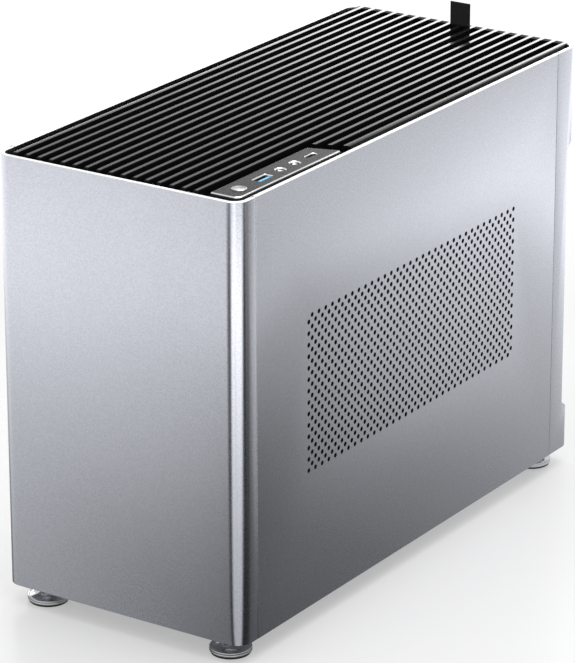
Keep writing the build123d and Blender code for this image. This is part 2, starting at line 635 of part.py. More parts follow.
# Motherboard tray: upright sheet from the floor to the top tray, with a window behind the processor.
CPU_Y = 95.0
CPU_Z = 171.0
with BuildPart() as motherboard_tray:
    tray_y = (-20.0, REAR_PANEL_IN)
    cuboid((TRAY_X, TRAY_X + PLATE), tray_y, (FLOOR_TOP, TOP_TRAY_BOTTOM))
    cuboid((TRAY_X, TRAY_X + PLATE), (CPU_Y - 38, CPU_Y + 38), (CPU_Z - 38, CPU_Z + 38), mode=Mode.SUBTRACT)
    with BuildSketch(Plane.YZ.offset(TRAY_X)):
        with Locations((-10.0, 60.0), (-10.0, 150.0), (-10.0, 215.0)):
            SlotOverall(36.0, 12.0, rotation=90)
    extrude(amount=PLATE, mode=Mode.SUBTRACT)
motherboard_tray.part.label = "motherboard_tray"
export_step(motherboard_tray.part, "parts/motherboard_tray.step")

# ---- Fans ----------------------------------------------------------------------------------------


def fan_frame(plane, size, depth, hole_spacing, hub_radius):
    """A square fan frame: two flanges joined by a duct, with a motor plate on four struts at its far side."""
    with BuildPart() as frame:
        for level in (0, depth - 4.0):
            with BuildSketch(plane.offset(level)):
                RectangleRounded(size, size, size * 0.06)
                Circle(size / 2 - 2.6, mode=Mode.SUBTRACT)
                with GridLocations(hole_spacing, hole_spacing, 2, 2):
                    Circle(2.15, mode=Mode.SUBTRACT)
            extrude(amount=4.0)
        with BuildSketch(plane):
            Circle(size / 2 - 1.2)
            Circle(size / 2 - 2.6, mode=Mode.SUBTRACT)
        extrude(amount=depth)
        with BuildSketch(plane.offset(depth - 3.0)):
            Circle(hub_radius)
            with PolarLocations(size / 4, 4, start_angle=45):
                Rectangle(size / 2 - 4.0, 3.2)
        extrude(amount=2.6)
    return frame.part


def turned(direction, about, degrees):
    """A direction turned about another one."""
    return direction.rotate(Axis((0, 0, 0), about), degrees)


def fan_rotor(plane, radius, hub_radius, blade_depth, blades):
    """A fan rotor: a capped hub with pitched blades, each lofted from a steep root to a flatter tip."""
    with BuildPart() as rotor:
        with BuildSketch(plane):
            Circle(hub_radius)
        extrude(amount=blade_depth + 1.5)
        chamfer(rotor.edges().filter_by(GeomType.CIRCLE), 0.8)
        middle = plane.origin + plane.z_dir * (blade_depth / 2 + 0.7)
        chord = 2 * blade_depth
        for index in range(blades):
            outward = turned(plane.x_dir, plane.z_dir, 360.0 * index / blades)
            along = turned(plane.y_dir, plane.z_dir, 360.0 * index / blades)
            root = Plane(origin=middle + outward * (hub_radius - 1.5), x_dir=along, z_dir=outward)
            tip = Plane(origin=middle + outward * radius * 1.04, x_dir=along, z_dir=outward)
            with BuildSketch(root):
                Rectangle(min(chord, hub_radius), 1.6, rotation=48.0)
            with BuildSketch(tip):
                Rectangle(chord, 1.0, rotation=27.0)
            loft()
        with BuildSketch(plane.offset(-blade_depth)):
            Circle(2 * radius)
            Circle(radius, mode=Mode.SUBTRACT)
        extrude(amount=4 * blade_depth, mode=Mode.SUBTRACT)
    return rotor.part


top_fan_bottom = TOP_TRAY_BOTTOM - FAN_DEPTH
for name, centre in zip(("front", "rear"), fan_centres):
    fan_plane = Plane(origin=(*centre, top_fan_bottom))
    top_frame = fan_frame(fan_plane, FAN_SIZE, FAN_DEPTH, 105.0, 20.0)
    top_frame.label = f"top_fan_frame_{name}"
    export_step(top_frame, f"parts/top_fan_frame_{name}.step")
    top_rotor = fan_rotor(fan_plane.offset(2.0), 56.4, 20.0, 17.0, 9)
    top_rotor.label = f"top_rotor_{name}"
    export_step(top_rotor, f"parts/top_rotor_{name}.step")

COOLER_FAN = 92.0
COOLER_X = -25.0
cooler_plane = Plane(origin=(COOLER_X, CPU_Y - 51.0, CPU_Z + 1), x_dir=(1, 0, 0), z_dir=(0, 1, 0))
cooler_fan_frame = fan_frame(cooler_plane, COOLER_FAN, FAN_DEPTH, 82.5, 18.0)
cooler_fan_frame.label = "cooler_fan_frame"
export_step(cooler_fan_frame, "parts/cooler_fan_frame.step")
cooler_rotor = fan_rotor(cooler_plane.offset(2.0), 42.4, 18.0, 16.0, 9)
cooler_rotor.label = "cooler_rotor"
export_step(cooler_rotor, "parts/cooler_rotor.step")

# ---- Motherboard ---------------------------------------------------------------------------------

mount_rows = [BOARD_BOTTOM + 6.35, BOARD_BOTTOM + 6.35 + 157.48]
mount_columns = [BOARD_REAR - 10.16, BOARD_REAR - 10.16 - 154.94]
board_mounts = [(y, z) for y in mount_columns for z in mount_rows]

# The board itself, with its chips, header sockets and small heatsinks.
with BuildPart() as motherboard:
    cuboid((BOARD_FACE, BOARD_BACK), (BOARD_FRONT, BOARD_REAR), (BOARD_BOTTOM, BOARD_TOP))
    with BuildSketch(Plane.YZ.offset(BOARD_FACE)):
        with Locations(board_mounts):
            Circle(2.0)
    extrude(amount=BOARD_THICKNESS, mode=Mode.SUBTRACT)
    for y, z in ((60.0, 120.0), (45.0, 140.0), (150.0, 84.0), (60.0, 206.0)):
        cuboid((BOARD_FACE - 1.2, BOARD_FACE), (y - 4, y + 4), (z - 4, z + 4))
    cuboid((BOARD_FACE - 12.0, BOARD_FACE), (BOARD_FRONT + 2, BOARD_FRONT + 9), (96.0, 124.0))
motherboard.part.label = "motherboard"
export_step(motherboard.part, "parts/motherboard.step")

# Brass standoffs between the tray and the board.
with BuildPart() as standoffs:
    with BuildSketch(Plane.YZ.offset(BOARD_BACK)):
        with Locations(board_mounts):
            RegularPolygon(2.9, 6)
    extrude(amount=STANDOFF)
standoffs.part.label = "standoffs"
export_step(standoffs.part, "parts/standoffs.step")

# Processor socket with its lid and clamping frame.
with BuildPart() as cpu_socket:
    cuboid((BOARD_FACE - 4.0, BOARD_FACE), (CPU_Y - 24, CPU_Y + 24), (CPU_Z - 24, CPU_Z + 24))
    cuboid((BOARD_FACE - 6.5, BOARD_FACE - 4.0), (CPU_Y - 16, CPU_Y + 16), (CPU_Z - 16, CPU_Z + 16))
cpu_socket.part.label = "cpu_socket"
export_step(cpu_socket.part, "parts/cpu_socket.step")

# Cooler base: a cold plate with four heat pipes standing in it.
PIPE_RADIUS = 3.0
FINS_INNER = 12.0
FINS_OUTER = -62.0
pipe_places = [(CPU_Y + i * 13.0, CPU_Z + j * 12.0) for i in (-1, 1) for j in (-1, 1)]
with BuildPart() as cooler_base:
    cold_face = BOARD_FACE - 6.5
    cuboid((cold_face - 9.0, cold_face), (CPU_Y - 20, CPU_Y + 20), (CPU_Z - 20, CPU_Z + 20))
    for y, z in pipe_places:
        rod((cold_face - 9.0, y, z), (-1, 0, 0), PIPE_RADIUS, cold_face - 9.0 - FINS_OUTER)
cooler_base.part.label = "cooler_base"
export_step(cooler_base.part, "parts/cooler_base.step")

# Cooler fins: a stack of thin plates on the pipes, tied along two edges.
with BuildPart() as cooler_fins:
    with BuildSketch(Plane.YZ.offset(FINS_OUTER)):
        with Locations((CPU_Y, CPU_Z + 1)):
            Rectangle(50.0, 92.0)
        with Locations(pipe_places):
            Circle(PIPE_RADIUS + 0.05, mode=Mode.SUBTRACT)
    extrude(amount=0.5)
    plate_pitch = 2.4
    plate_count = int((FINS_INNER - FINS_OUTER) / plate_pitch)
    for index in range(1, plate_count + 1):
        with BuildSketch(Plane.YZ.offset(FINS_OUTER + index * plate_pitch)):
            with Locations((CPU_Y, CPU_Z + 1)):
                Rectangle(50.0, 92.0)
            with Locations(pipe_places):
                Circle(PIPE_RADIUS + 0.05, mode=Mode.SUBTRACT)
        extrude(amount=0.5)
    fins_x = (FINS_OUTER, FINS_OUTER + plate_count * plate_pitch + 0.5)
    for y in (CPU_Y - 25.0, CPU_Y + 24.4):
        for z in (CPU_Z - 30.0, CPU_Z + 28.0):
            cuboid(fins_x, (y, y + 0.6), (z, z + 4.0))
cooler_fins.part.label = "cooler_fins"
export_step(cooler_fins.part, "parts/cooler_fins.step")

# Plastic sockets on the board: two for memory, one for the graphics card and one for the main power cable.
MEMORY_Y = (22.0, 31.5)
CARD_Z = 71.0
SOCKET_Y = BOARD_FRONT + 5.5
SOCKET_Z = 176.0
with BuildPart() as board_slots:
    for y in MEMORY_Y:
        cuboid((BOARD_FACE - 8.0, BOARD_FACE), (y - 3.2, y + 3.2), (80.0, 222.0))
    cuboid((BOARD_FACE - 11.0, BOARD_FACE), (74.0, 163.0), (CARD_Z - 3.7, CARD_Z + 3.7))
    card_slot_z = (CARD_Z - 0.9, CARD_Z + 0.9)
    cuboid((BOARD_FACE - 11.0, BOARD_FACE - 3.0), (76.0, 161.0), card_slot_z, mode=Mode.SUBTRACT)
    cuboid((BOARD_FACE - 11.0, BOARD_FACE), (SOCKET_Y - 4.5, SOCKET_Y + 4.5), (SOCKET_Z - 26, SOCKET_Z + 26))
board_slots.part.label = "board_slots"
export_step(board_slots.part, "parts/board_slots.step")

# Memory modules, one solid each.
with BuildPart() as memory_modules:
    for y in MEMORY_Y:
        cuboid((BOARD_FACE - 38.0, BOARD_FACE - 8.0), (y - 2.9, y + 2.9), (84.5, 217.5))
        for z in range(95, 210, 12):
            recess_x = (BOARD_FACE - 36.0, BOARD_FACE - 14.0)
            cuboid(recess_x, (y - 2.9, y - 2.2), (z, z + 5.0), mode=Mode.SUBTRACT)
memory_modules.part.label = "memory_modules"
export_step(memory_modules.part, "parts/memory_modules.step")

# Ribbed heatsink over the drive, and another over the power stages beside the rear sockets.
with BuildPart() as board_heatsinks:
    cuboid((BOARD_FACE - 7.0, BOARD_FACE), (60.0, 142.0), (88.0, 112.0))
    for index in range(8):
        low = 90.0 + index * 2.8
        cuboid((BOARD_FACE - 7.0, BOARD_FACE - 3.5), (60.0, 142.0), (low, low + 1.3), mode=Mode.SUBTRACT)
    cuboid((BOARD_FACE - 24.0, BOARD_FACE), (126.0, 142.0), (126.0, 216.0))
    for index in range(14):
        low = 130.0 + index * 6.0
        cuboid((BOARD_FACE - 24.0, BOARD_FACE - 8.0), (126.0, 142.0), (low, low + 2.6), mode=Mode.SUBTRACT)
board_heatsinks.part.label = "board_heatsinks"
export_step(board_heatsinks.part, "parts/board_heatsinks.step")

# Rear sockets on the board: each is a metal block with recessed mouths that face the rear.
SOCKET_FACE = REAR_PANEL_OUT + 0.6


def socket_block(middle_z, width, height, depth=16.0):
    """The housing of one socket, standing on the board."""
    low = (BOARD_FACE - height, BOARD_FACE)
    cuboid(low, (SOCKET_FACE - depth, SOCKET_FACE), (middle_z - width / 2, middle_z + width / 2))


def socket_mouth(x, z, width, height, tongue=True):
    """A mouth in a socket's face, with a contact tongue inside it."""
    mouth_y = (SOCKET_FACE - 10.0, SOCKET_FACE)
    cuboid((x - height / 2, x + height / 2), mouth_y, (z - width / 2, z + width / 2), mode=Mode.SUBTRACT)
    if tongue:
        cuboid((x, x + 1.4), (SOCKET_FACE - 10.0, SOCKET_FACE - 1.5), (z - width / 2 + 1, z + width / 2 - 1))


USB_BLOCKS_Z = (222.0, 203.0, 126.0)
NETWORK_Z = 179.0
DISPLAY_Z = 151.0
JACKS_Z = 102.0
TWIN_STACK = (BOARD_FACE - 4.2, BOARD_FACE - 12.2)
with BuildPart() as rear_sockets:
    for z in USB_BLOCKS_Z:
        socket_block(z, 14.6, 16.4)
        for x in TWIN_STACK:
            socket_mouth(x, z, 12.6, 5.0)
    socket_block(NETWORK_Z, 17.0, 29.0)
    socket_mouth(BOARD_FACE - 22.5, NETWORK_Z, 11.8, 8.4, tongue=False)
    for x in TWIN_STACK:
        socket_mouth(x, NETWORK_Z, 12.6, 5.0)
    socket_block(DISPLAY_Z, 18.0, 22.0)
    for x in (BOARD_FACE - 5.0, BOARD_FACE - 16.0):
        socket_mouth(x, DISPLAY_Z, 15.0, 5.0)
rear_sockets.part.label = "rear_sockets"
export_step(rear_sockets.part, "parts/rear_sockets.step")

JACK_PITCH = 11.2
JACK_BODY = 11.0
JACK_LIP = 1.0
with BuildPart() as rear_jacks:
    for index in range(3):
        x = BOARD_FACE - JACK_BODY / 2 - index * JACK_PITCH
        body_x = (x - JACK_BODY / 2, x + JACK_BODY / 2)
        cuboid(body_x, (SOCKET_FACE - 16.0, SOCKET_FACE), (JACKS_Z - 6.5, JACKS_Z + 6.5))
        rod((x, SOCKET_FACE, JACKS_Z), (0, 1, 0), 3.4, JACK_LIP)
        rod((x, SOCKET_FACE + JACK_LIP, JACKS_Z), (0, -1, 0), 1.8, 13.0, mode=Mode.SUBTRACT)
rear_jacks.part.label = "rear_jacks"
export_step(rear_jacks.part, "parts/rear_jacks.step")

# Thin steel shield that fills the aperture round the sockets.
with BuildPart() as io_shield:
    shield_y = (REAR_PANEL_IN, REAR_PANEL_IN + 0.8)
    aperture_gap = 0.2
    cuboid(
        (APERTURE_X[0] + aperture_gap, APERTURE_X[1] - aperture_gap),
        shield_y,
        (APERTURE_Z[0] + aperture_gap, APERTURE_Z[1] - aperture_gap),
    )
    sockets = [(z, 14.6, 16.4) for z in USB_BLOCKS_Z]
    sockets += [(NETWORK_Z, 17.0, 29.0), (DISPLAY_Z, 18.0, 22.0), (JACKS_Z, 13.0, 34.0)]
    for z, width, height in sockets:
        hole_x = (BOARD_FACE - height - 0.2, BOARD_FACE + 0.2)
        cuboid(hole_x, shield_y, (z - width / 2 - 0.2, z + width / 2 + 0.2), mode=Mode.SUBTRACT)
io_shield.part.label = "io_shield"
export_step(io_shield.part, "parts/io_shield.step")

# ---- Graphics card -------------------------------------------------------------------------------

CARD_FRONT = -68.0
CARD_REAR = REAR_PANEL_IN - PLATE
CARD_INNER = BOARD_FACE - 11.4
CARD_OUTER = -62.0
CARD_TOP = CARD_Z + 0.8
CARD_UNDER = CARD_Z - 0.8
SHROUD_BOTTOM = 32.0

# Card board with its contact edge in the slot.
with BuildPart() as card_board:
    cuboid((CARD_OUTER, CARD_INNER), (CARD_FRONT, CARD_REAR), (CARD_UNDER, CARD_TOP))
    cuboid((CARD_INNER, BOARD_FACE - 4.0), (77.0, 160.0), (CARD_UNDER, CARD_TOP))
card_board.part.label = "card_board"
export_step(card_board.part, "parts/card_board.step")

# Backplate, slotted above the far end of the card.
with BuildPart() as card_backplate:
    cuboid((CARD_OUTER, CARD_INNER - 4.0), (CARD_FRONT, CARD_REAR - 2.0), (CARD_TOP + 0.6, CARD_TOP + 2.0))
    with BuildSketch(Plane.XY.offset(CARD_TOP + 0.6)):
        with Locations((-12.0, -30.0)):
            with GridLocations(0, 8.0, 1, 7):
                SlotOverall(70.0, 3.6)
    extrude(amount=1.4, mode=Mode.SUBTRACT)
    for x in (CARD_OUTER + 4, CARD_INNER - 8):
        for y in (CARD_FRONT + 5, CARD_REAR - 8):
            rod((x, y, CARD_TOP), (0, 0, 1), 2.2, 0.6)
card_backplate.part.label = "card_backplate"
export_step(card_backplate.part, "parts/card_backplate.step")

# Heatsink: a base against the board and a row of plates across it.
with BuildPart() as card_heatsink:
    sink_x = (CARD_OUTER + 4.0, CARD_INNER - 6.0)
    cuboid(sink_x, (CARD_FRONT + 5, CARD_REAR - 12), (CARD_UNDER - 4.0, CARD_UNDER))
    for index in range(44):
        low = CARD_FRONT + 6 + index * 5.0
        cuboid(sink_x, (low, low + 0.6), (CARD_UNDER - 18.0, CARD_UNDER - 4.0))
card_heatsink.part.label = "card_heatsink"
export_step(card_heatsink.part, "parts/card_heatsink.step")

# Shroud round the heatsink, open above, with two round fan openings below.
CARD_FAN_RADIUS = 44.0
card_fan_centres = [((CARD_OUTER + CARD_INNER) / 2, y) for y in (-14.0, 98.0)]
with BuildPart() as card_shroud:
    shroud_y = (CARD_FRONT, CARD_REAR - 4.0)
    cuboid((CARD_OUTER, CARD_INNER), shroud_y, (SHROUD_BOTTOM, CARD_UNDER))
    fillet(card_shroud.edges().filter_by(Axis.Z), 6.0)
    chamfer(card_shroud.faces().sort_by(Axis.Z)[0].edges(), 2.5)
    cuboid(
        (CARD_OUTER + 2, CARD_INNER - 2),
        (shroud_y[0] + 2, shroud_y[1] - 2),
        (SHROUD_BOTTOM + 2.4, CARD_UNDER),
        mode=Mode.SUBTRACT,
    )
    for centre in card_fan_centres:
        rod((*centre, SHROUD_BOTTOM), (0, 0, 1), CARD_FAN_RADIUS + 1.5, 3.0, mode=Mode.SUBTRACT)
        with BuildSketch(Plane(origin=(*centre, SHROUD_BOTTOM + 14.5))):
            Circle(15.0)
            with PolarLocations(27.0, 3):
                Rectangle(47.0, 4.0)
        extrude(amount=2.0)
card_shroud.part.label = "card_shroud"
export_step(card_shroud.part, "parts/card_shroud.step")

for name, centre in zip(("front", "rear"), card_fan_centres):
    card_rotor = fan_rotor(Plane(origin=(*centre, SHROUD_BOTTOM + 0.6)), CARD_FAN_RADIUS, 16.0, 11.0, 11)
    card_rotor.label = f"card_rotor_{name}"
    export_step(card_rotor, f"parts/card_rotor_{name}.step")

# Bracket behind the two card slots, with the card's display sockets.
with BuildPart() as card_bracket:
    bracket_y = (CARD_REAR, REAR_PANEL_IN)
    cuboid((-72.0, 44.0), bracket_y, (35.9, 74.6))
    with BuildSketch(Plane.XZ.offset(-REAR_PANEL_IN)):
        with Locations(thumb_places):
            Circle(1.6)
        with Locations([(-5.0, CARD_SLOTS_Z[1])]):
            with GridLocations(6.0, 0, 14, 1):
                SlotOverall(9.0, 3.4, rotation=90)
    extrude(amount=PLATE, mode=Mode.SUBTRACT)
    for x in (-38.0, -14.0, 10.0, 34.0):
        socket_front = REAR_PANEL_OUT + 0.4
        cuboid((x - 9.0, x + 9.0), (CARD_REAR - 2.8, socket_front), (62.0, 69.4))
        mouth_y = (REAR_PANEL_IN - 2.0, socket_front)
        cuboid((x - 7.6, x + 7.6), mouth_y, (63.2, 68.2), mode=Mode.SUBTRACT)
        cuboid((x - 6.0, x + 6.0), (REAR_PANEL_IN - 2.0, REAR_PANEL_OUT - 0.8), (65.1, 66.3))
card_bracket.part.label = "card_bracket"
export_step(card_bracket.part, "parts/card_bracket.step")

# Knurled screws that hold the bracket.
with BuildPart() as thumb_screws:
    for x, z in thumb_places:
        head = Plane(origin=(x, REAR_PANEL_OUT, z), x_dir=(1, 0, 0), z_dir=(0, 1, 0))
        with BuildSketch(head):
            Circle(4.6)
            with PolarLocations(4.7, 20):
                Circle(0.4, mode=Mode.SUBTRACT)
        extrude(amount=7.0)
        rod((x, REAR_PANEL_OUT, z), (0, -1, 0), 1.5, 6.0)
thumb_screws.part.label = "thumb_screws"
export_step(thumb_screws.part, "parts/thumb_screws.step")

# ---- Power supply --------------------------------------------------------------------------------

SUPPLY_X = (SUPPLY_CORNER[0], SUPPLY_CORNER[0] + SUPPLY[0])
SUPPLY_Y = (SUPPLY_CORNER[1], SUPPLY_CORNER[1] + SUPPLY[1])
SUPPLY_Z = (SUPPLY_CORNER[2], SUPPLY_CORNER[2] + SUPPLY[2])
supply_middle = (sum(SUPPLY_Y) / 2, sum(SUPPLY_Z) / 2)
SUPPLY_INLET = (36.0, 130.0)
MAIN_CABLE_X = 23.0
ROCKER = (36.0, 156.0)

# Case of the supply: a hollow box with a fan opening towards the right side panel.
with BuildPart() as supply_case:
    cuboid(SUPPLY_X, SUPPLY_Y, SUPPLY_Z)
    hollow = [(low + PLATE, high - PLATE) for low, high in (SUPPLY_X, SUPPLY_Y, SUPPLY_Z)]
    cuboid(*hollow, mode=Mode.SUBTRACT)
    rod((SUPPLY_X[1] - PLATE, *supply_middle), (1, 0, 0), 43.0, PLATE, mode=Mode.SUBTRACT)
    with BuildSketch(Plane.XZ.offset(-SUPPLY_Y[0])):
        with Locations(SUPPLY_INLET):
            Rectangle(27.4, 20.2)
        with Locations(ROCKER):
            Rectangle(19.4, 13.4)
        with Locations((47.0, 197.0)):
            with GridLocations(6.0, 6.0, 9, 9):
                Circle(2.2)
    extrude(amount=-PLATE, mode=Mode.SUBTRACT)
    with BuildSketch(Plane.XZ.offset(-SUPPLY_Y[1])):
        with Locations((MAIN_CABLE_X, SOCKET_Z)):
            Rectangle(8.6, 8.6)
    extrude(amount=PLATE, mode=Mode.SUBTRACT)
    guard = Plane(origin=(SUPPLY_X[1] - PLATE / 2, *supply_middle), x_dir=(0, 1, 0), z_dir=(1, 0, 0))
    with Locations(guard):
        for ring_radius in range(11, 41, 6):
            Torus(ring_radius, 0.6)
    with BuildSketch(guard.offset(-PLATE / 2)):
        with PolarLocations(27.0, 4, start_angle=45):
            Rectangle(34.0, 1.6)
        Circle(11.0)
        Circle(8.0, mode=Mode.SUBTRACT)
    extrude(amount=PLATE)
supply_case.part.label = "supply_case"
export_step(supply_case.part, "parts/supply_case.step")

# Supply fan, behind the case's guard.
supply_fan_plane = Plane(origin=(SUPPLY_X[1] - 16.0, *supply_middle), x_dir=(0, 1, 0), z_dir=(1, 0, 0))
supply_rotor = fan_rotor(supply_fan_plane, 41.0, 16.0, 10.0, 9)
supply_rotor.label = "supply_rotor"
export_step(supply_rotor, "parts/supply_rotor.step")


def mains_inlet(plane):
    """A three-pin mains inlet: flanged housing with an open socket, facing along the plane's normal."""
    with BuildPart() as inlet:
        with BuildSketch(plane):
            RectangleRounded(30.0, 23.6, 2.0)
        extrude(amount=1.8)
        with BuildSketch(plane):
            Rectangle(27.0, 19.8)
        extrude(amount=-20.0)
        with BuildSketch(plane.offset(1.8)) as mouth:
            Rectangle(24.6, 16.8)
            chamfer(mouth.vertices().group_by(Axis.Y)[-1], 4.5)
        extrude(amount=-18.0, mode=Mode.SUBTRACT)
        with BuildSketch(plane.offset(-16.2)):
            with Locations((-7.0, -1.5), (0, 2.5), (7.0, -1.5)):
                Rectangle(2.0, 4.0)
        extrude(amount=14.0)
    return inlet.part


rear_inlet_plane = Plane(origin=(INLET[0], REAR_PANEL_OUT, INLET[1]), x_dir=(-1, 0, 0), z_dir=(0, 1, 0))
rear_inlet = mains_inlet(rear_inlet_plane)
rear_inlet.label = "rear_inlet"
export_step(rear_inlet, "parts/rear_inlet.step")

supply_inlet_centre = (SUPPLY_INLET[0], SUPPLY_Y[0], SUPPLY_INLET[1])
supply_inlet_plane = Plane(origin=supply_inlet_centre, x_dir=(1, 0, 0), z_dir=(0, -1, 0))
supply_inlet = mains_inlet(supply_inlet_plane)
supply_inlet.label = "supply_inlet"
export_step(supply_inlet, "parts/supply_inlet.step")

# Rocker switch: a frame in the supply's face and a tipping cap on a cross axis.
ROCKER_TILT = 12.0
rocker_plane = Plane(origin=(ROCKER[0], SUPPLY_Y[0], ROCKER[1]), x_dir=(1, 0, 0), z_dir=(0, -1, 0))
with BuildPart() as rocker_frame:
    with BuildSketch(rocker_plane):
        RectangleRounded(21.6, 15.6, 1.0)
    extrude(amount=1.6)
    with BuildSketch(rocker_plane):
        Rectangle(19.0, 13.0)
    extrude(amount=-14.0)
    with BuildSketch(rocker_plane.offset(1.6)):
        Rectangle(16.4, 10.6)
    extrude(amount=-12.0, mode=Mode.SUBTRACT)
rocker_frame.part.label = "rocker_frame"
export_step(rocker_frame.part, "parts/rocker_frame.step")

with BuildPart() as rocker_switch:
    cap_direction = turned(Vector(1, 0, 0), Vector(0, 0, 1), -ROCKER_TILT)
    side_plane = Plane(origin=rocker_plane.offset(-2.0).origin, x_dir=cap_direction, z_dir=(0, 0, -1))
    with BuildSketch(side_plane):
        with BuildLine():
            Polyline((-7.2, 0), (-7.2, 3.2), (0, 2.2), (7.2, 3.2), (7.2, 0), (3, -4), (-3, -4), close=True)
        make_face()
    extrude(amount=4.8, both=True)
    with BuildSketch(side_plane):
        Circle(1.2)
    extrude(amount=5.25, both=True)
rocker_switch.part.label = "rocker_switch"
export_step(rocker_switch.part, "parts/rocker_switch.step")

# Upright bracket that holds the supply behind the front cover.
with BuildPart() as supply_bracket:
    bracket_y = (SUPPLY_Y[0] - PLATE - 2.0, SUPPLY_Y[0] - 2.0)
    bracket_x = (11.0, INNER_X - 2.0)
    cuboid(bracket_x, bracket_y, (FLOOR_TOP, IO_BOARD_TOP - 20.0))
    cuboid((18.0, 76.5), bracket_y, (108.0, 225.0), mode=Mode.SUBTRACT)
    for z in (106.0, 227.0):
        for x in (22.0, 72.0):
            rod((x, SUPPLY_Y[0], z), (0, -1, 0), 1.6, 2.0)
            rod((x, bracket_y[0], z), (0, -1, 0), 3.0, 1.8)
    cuboid(bracket_x, (bracket_y[0], bracket_y[0] + 16.0), (FLOOR_TOP, FLOOR_TOP + PLATE))
supply_bracket.part.label = "supply_bracket"
export_step(supply_bracket.part, "parts/supply_bracket.step")

# ---- Internal cables -----------------------------------------------------------------------------

END_SHARE = 0.9  # share of an end run that its bend may use
MIDDLE_SHARE = 0.45  # share of a run between two bends that each may use


def tan_half(degrees):
    """The tangent of half an angle."""
    half = Vector(1, 0, 0).rotate(Axis.Z, degrees / 2)
    return half.Y / half.X


def routed_cable(points, radius):
    """A round cable along straight runs, joined by arcs as large as the runs on either side allow."""
    route = [Vector(*point) for point in points]
    runs = [after - before for before, after in zip(route, route[1:])]
    shares = [END_SHARE] + [MIDDLE_SHARE] * (len(runs) - 2) + [END_SHARE]
    reaches = [share * run.length for share, run in zip(shares, runs)]
    bends = [
        min(reaches[i], reaches[i + 1]) / tan_half(runs[i].get_angle(runs[i + 1]))
        for i in range(len(runs) - 1)
    ]
    with BuildPart() as cable:
        with BuildLine() as path:
            FilletPolyline(*route, radius=bends)
        with BuildSketch(Plane(origin=path.wire() @ 0, z_dir=path.wire() % 0)):
            Circle(radius)
        sweep()
    return cable.part


# Mains lead from the rear inlet to the supply's right-angle plug.
PLUG_DEPTH = 24.0
plug_y = SUPPLY_Y[0] - 1.8
lead_end = (SUPPLY_INLET[0] - 15.0, plug_y - 13.0, SUPPLY_INLET[1])
mains_lead = routed_cable(
    [
        (INLET[0], REAR_PANEL_OUT - 20.0, INLET[1]),
        (INLET[0], 118.0, INLET[1]),
        (-58.0, 70.0, 94.0),
        (-62.0, 5.0, 97.0),
        (-60.0, -60.0, 108.0),
        (-52.0, -122.0, 120.0),
        (-32.0, *lead_end[1:]),
        lead_end,
    ],
    3.4,
)
mains_lead.label = "mains_lead"
export_step(mains_lead, "parts/mains_lead.step")

with BuildPart() as mains_plug:
    cuboid((SUPPLY_INLET[0] - 15.0, SUPPLY_INLET[0] + 14.0), (plug_y - PLUG_DEPTH, plug_y), (120.0, 140.0))
    fillet(mains_plug.edges().filter_by(Axis.Z), 3.0)
mains_plug.part.label = "mains_plug"
export_step(mains_plug.part, "parts/mains_plug.step")

# Main power cable from the supply to the board.
main_power_cable = routed_cable(
    [
        (MAIN_CABLE_X, SUPPLY_Y[1], SOCKET_Z),
        (MAIN_CABLE_X, SOCKET_Y, SOCKET_Z),
        (BOARD_FACE - 11.0, SOCKET_Y, SOCKET_Z),
    ],
    4.2,
)
main_power_cable.label = "main_power_cable"
export_step(main_power_cable, "parts/main_power_cable.step")

# Front panel cable from the I/O board down to its header on the board.
panel_cable = routed_cable(
    [
        (70.0, FRONT + 108.0, IO_BOARD_TOP - 10.0),
        (70.0, -33.0, IO_BOARD_TOP - 10.0),
        (47.0, -33.0, 110.0),
        (47.0, BOARD_FRONT + 2.0, 110.0),
    ],
    2.4,
)
panel_cable.label = "panel_cable"
export_step(panel_cable, "parts/panel_cable.step")
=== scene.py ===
import json
import math

import bmesh
import bpy
from mathutils import Matrix, Vector
from mathutils.geometry import tessellate_polygon


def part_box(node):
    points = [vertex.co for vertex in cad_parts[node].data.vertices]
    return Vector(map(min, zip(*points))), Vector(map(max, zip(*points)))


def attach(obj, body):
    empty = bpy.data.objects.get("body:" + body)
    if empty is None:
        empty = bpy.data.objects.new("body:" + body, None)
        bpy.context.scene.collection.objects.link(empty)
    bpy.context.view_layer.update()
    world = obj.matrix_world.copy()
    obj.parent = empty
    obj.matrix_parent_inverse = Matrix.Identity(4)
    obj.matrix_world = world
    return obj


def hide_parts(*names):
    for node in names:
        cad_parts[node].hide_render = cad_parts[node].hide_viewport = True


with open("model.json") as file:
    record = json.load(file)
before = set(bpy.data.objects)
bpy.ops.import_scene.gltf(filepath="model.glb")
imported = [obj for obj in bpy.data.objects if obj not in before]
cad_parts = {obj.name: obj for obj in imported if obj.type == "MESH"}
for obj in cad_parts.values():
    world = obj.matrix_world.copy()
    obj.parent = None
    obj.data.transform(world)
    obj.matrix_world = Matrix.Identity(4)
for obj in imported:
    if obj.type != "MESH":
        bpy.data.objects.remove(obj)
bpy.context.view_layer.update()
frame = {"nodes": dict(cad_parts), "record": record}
NODES = frame["nodes"]
BODY_OF = {node: body for body, nodes in frame["record"]["behaviour"]["bodies"].items() for node in nodes}
MM = 0.001

# ---- Camera -----------------------------------------------------------------------------------------------

CAMERA_PLACE = (1.2237, -1.8468, 0.9570)
CAMERA_AZIMUTH = 33.72
CAMERA_ELEVATION = 20.45
CAMERA_ROLL = -0.13
CAMERA_LENS = 209.5

lens = bpy.data.cameras.new("camera")
lens.lens = CAMERA_LENS
lens.sensor_width = 36.0
lens.clip_end = 50.0
camera = bpy.data.objects.new("camera", lens)
camera.location = CAMERA_PLACE
azimuth = Matrix.Rotation(math.radians(CAMERA_AZIMUTH), 3, "Z")
tilt = Matrix.Rotation(math.radians(90 - CAMERA_ELEVATION), 3, "X")
roll = Matrix.Rotation(math.radians(CAMERA_ROLL), 3, "Z")
camera.rotation_euler = (azimuth @ tilt @ roll).to_euler()
bpy.context.scene.collection.objects.link(camera)
bpy.context.scene.camera = camera

# ---- Materials --------------------------------------------------------------------------------------------

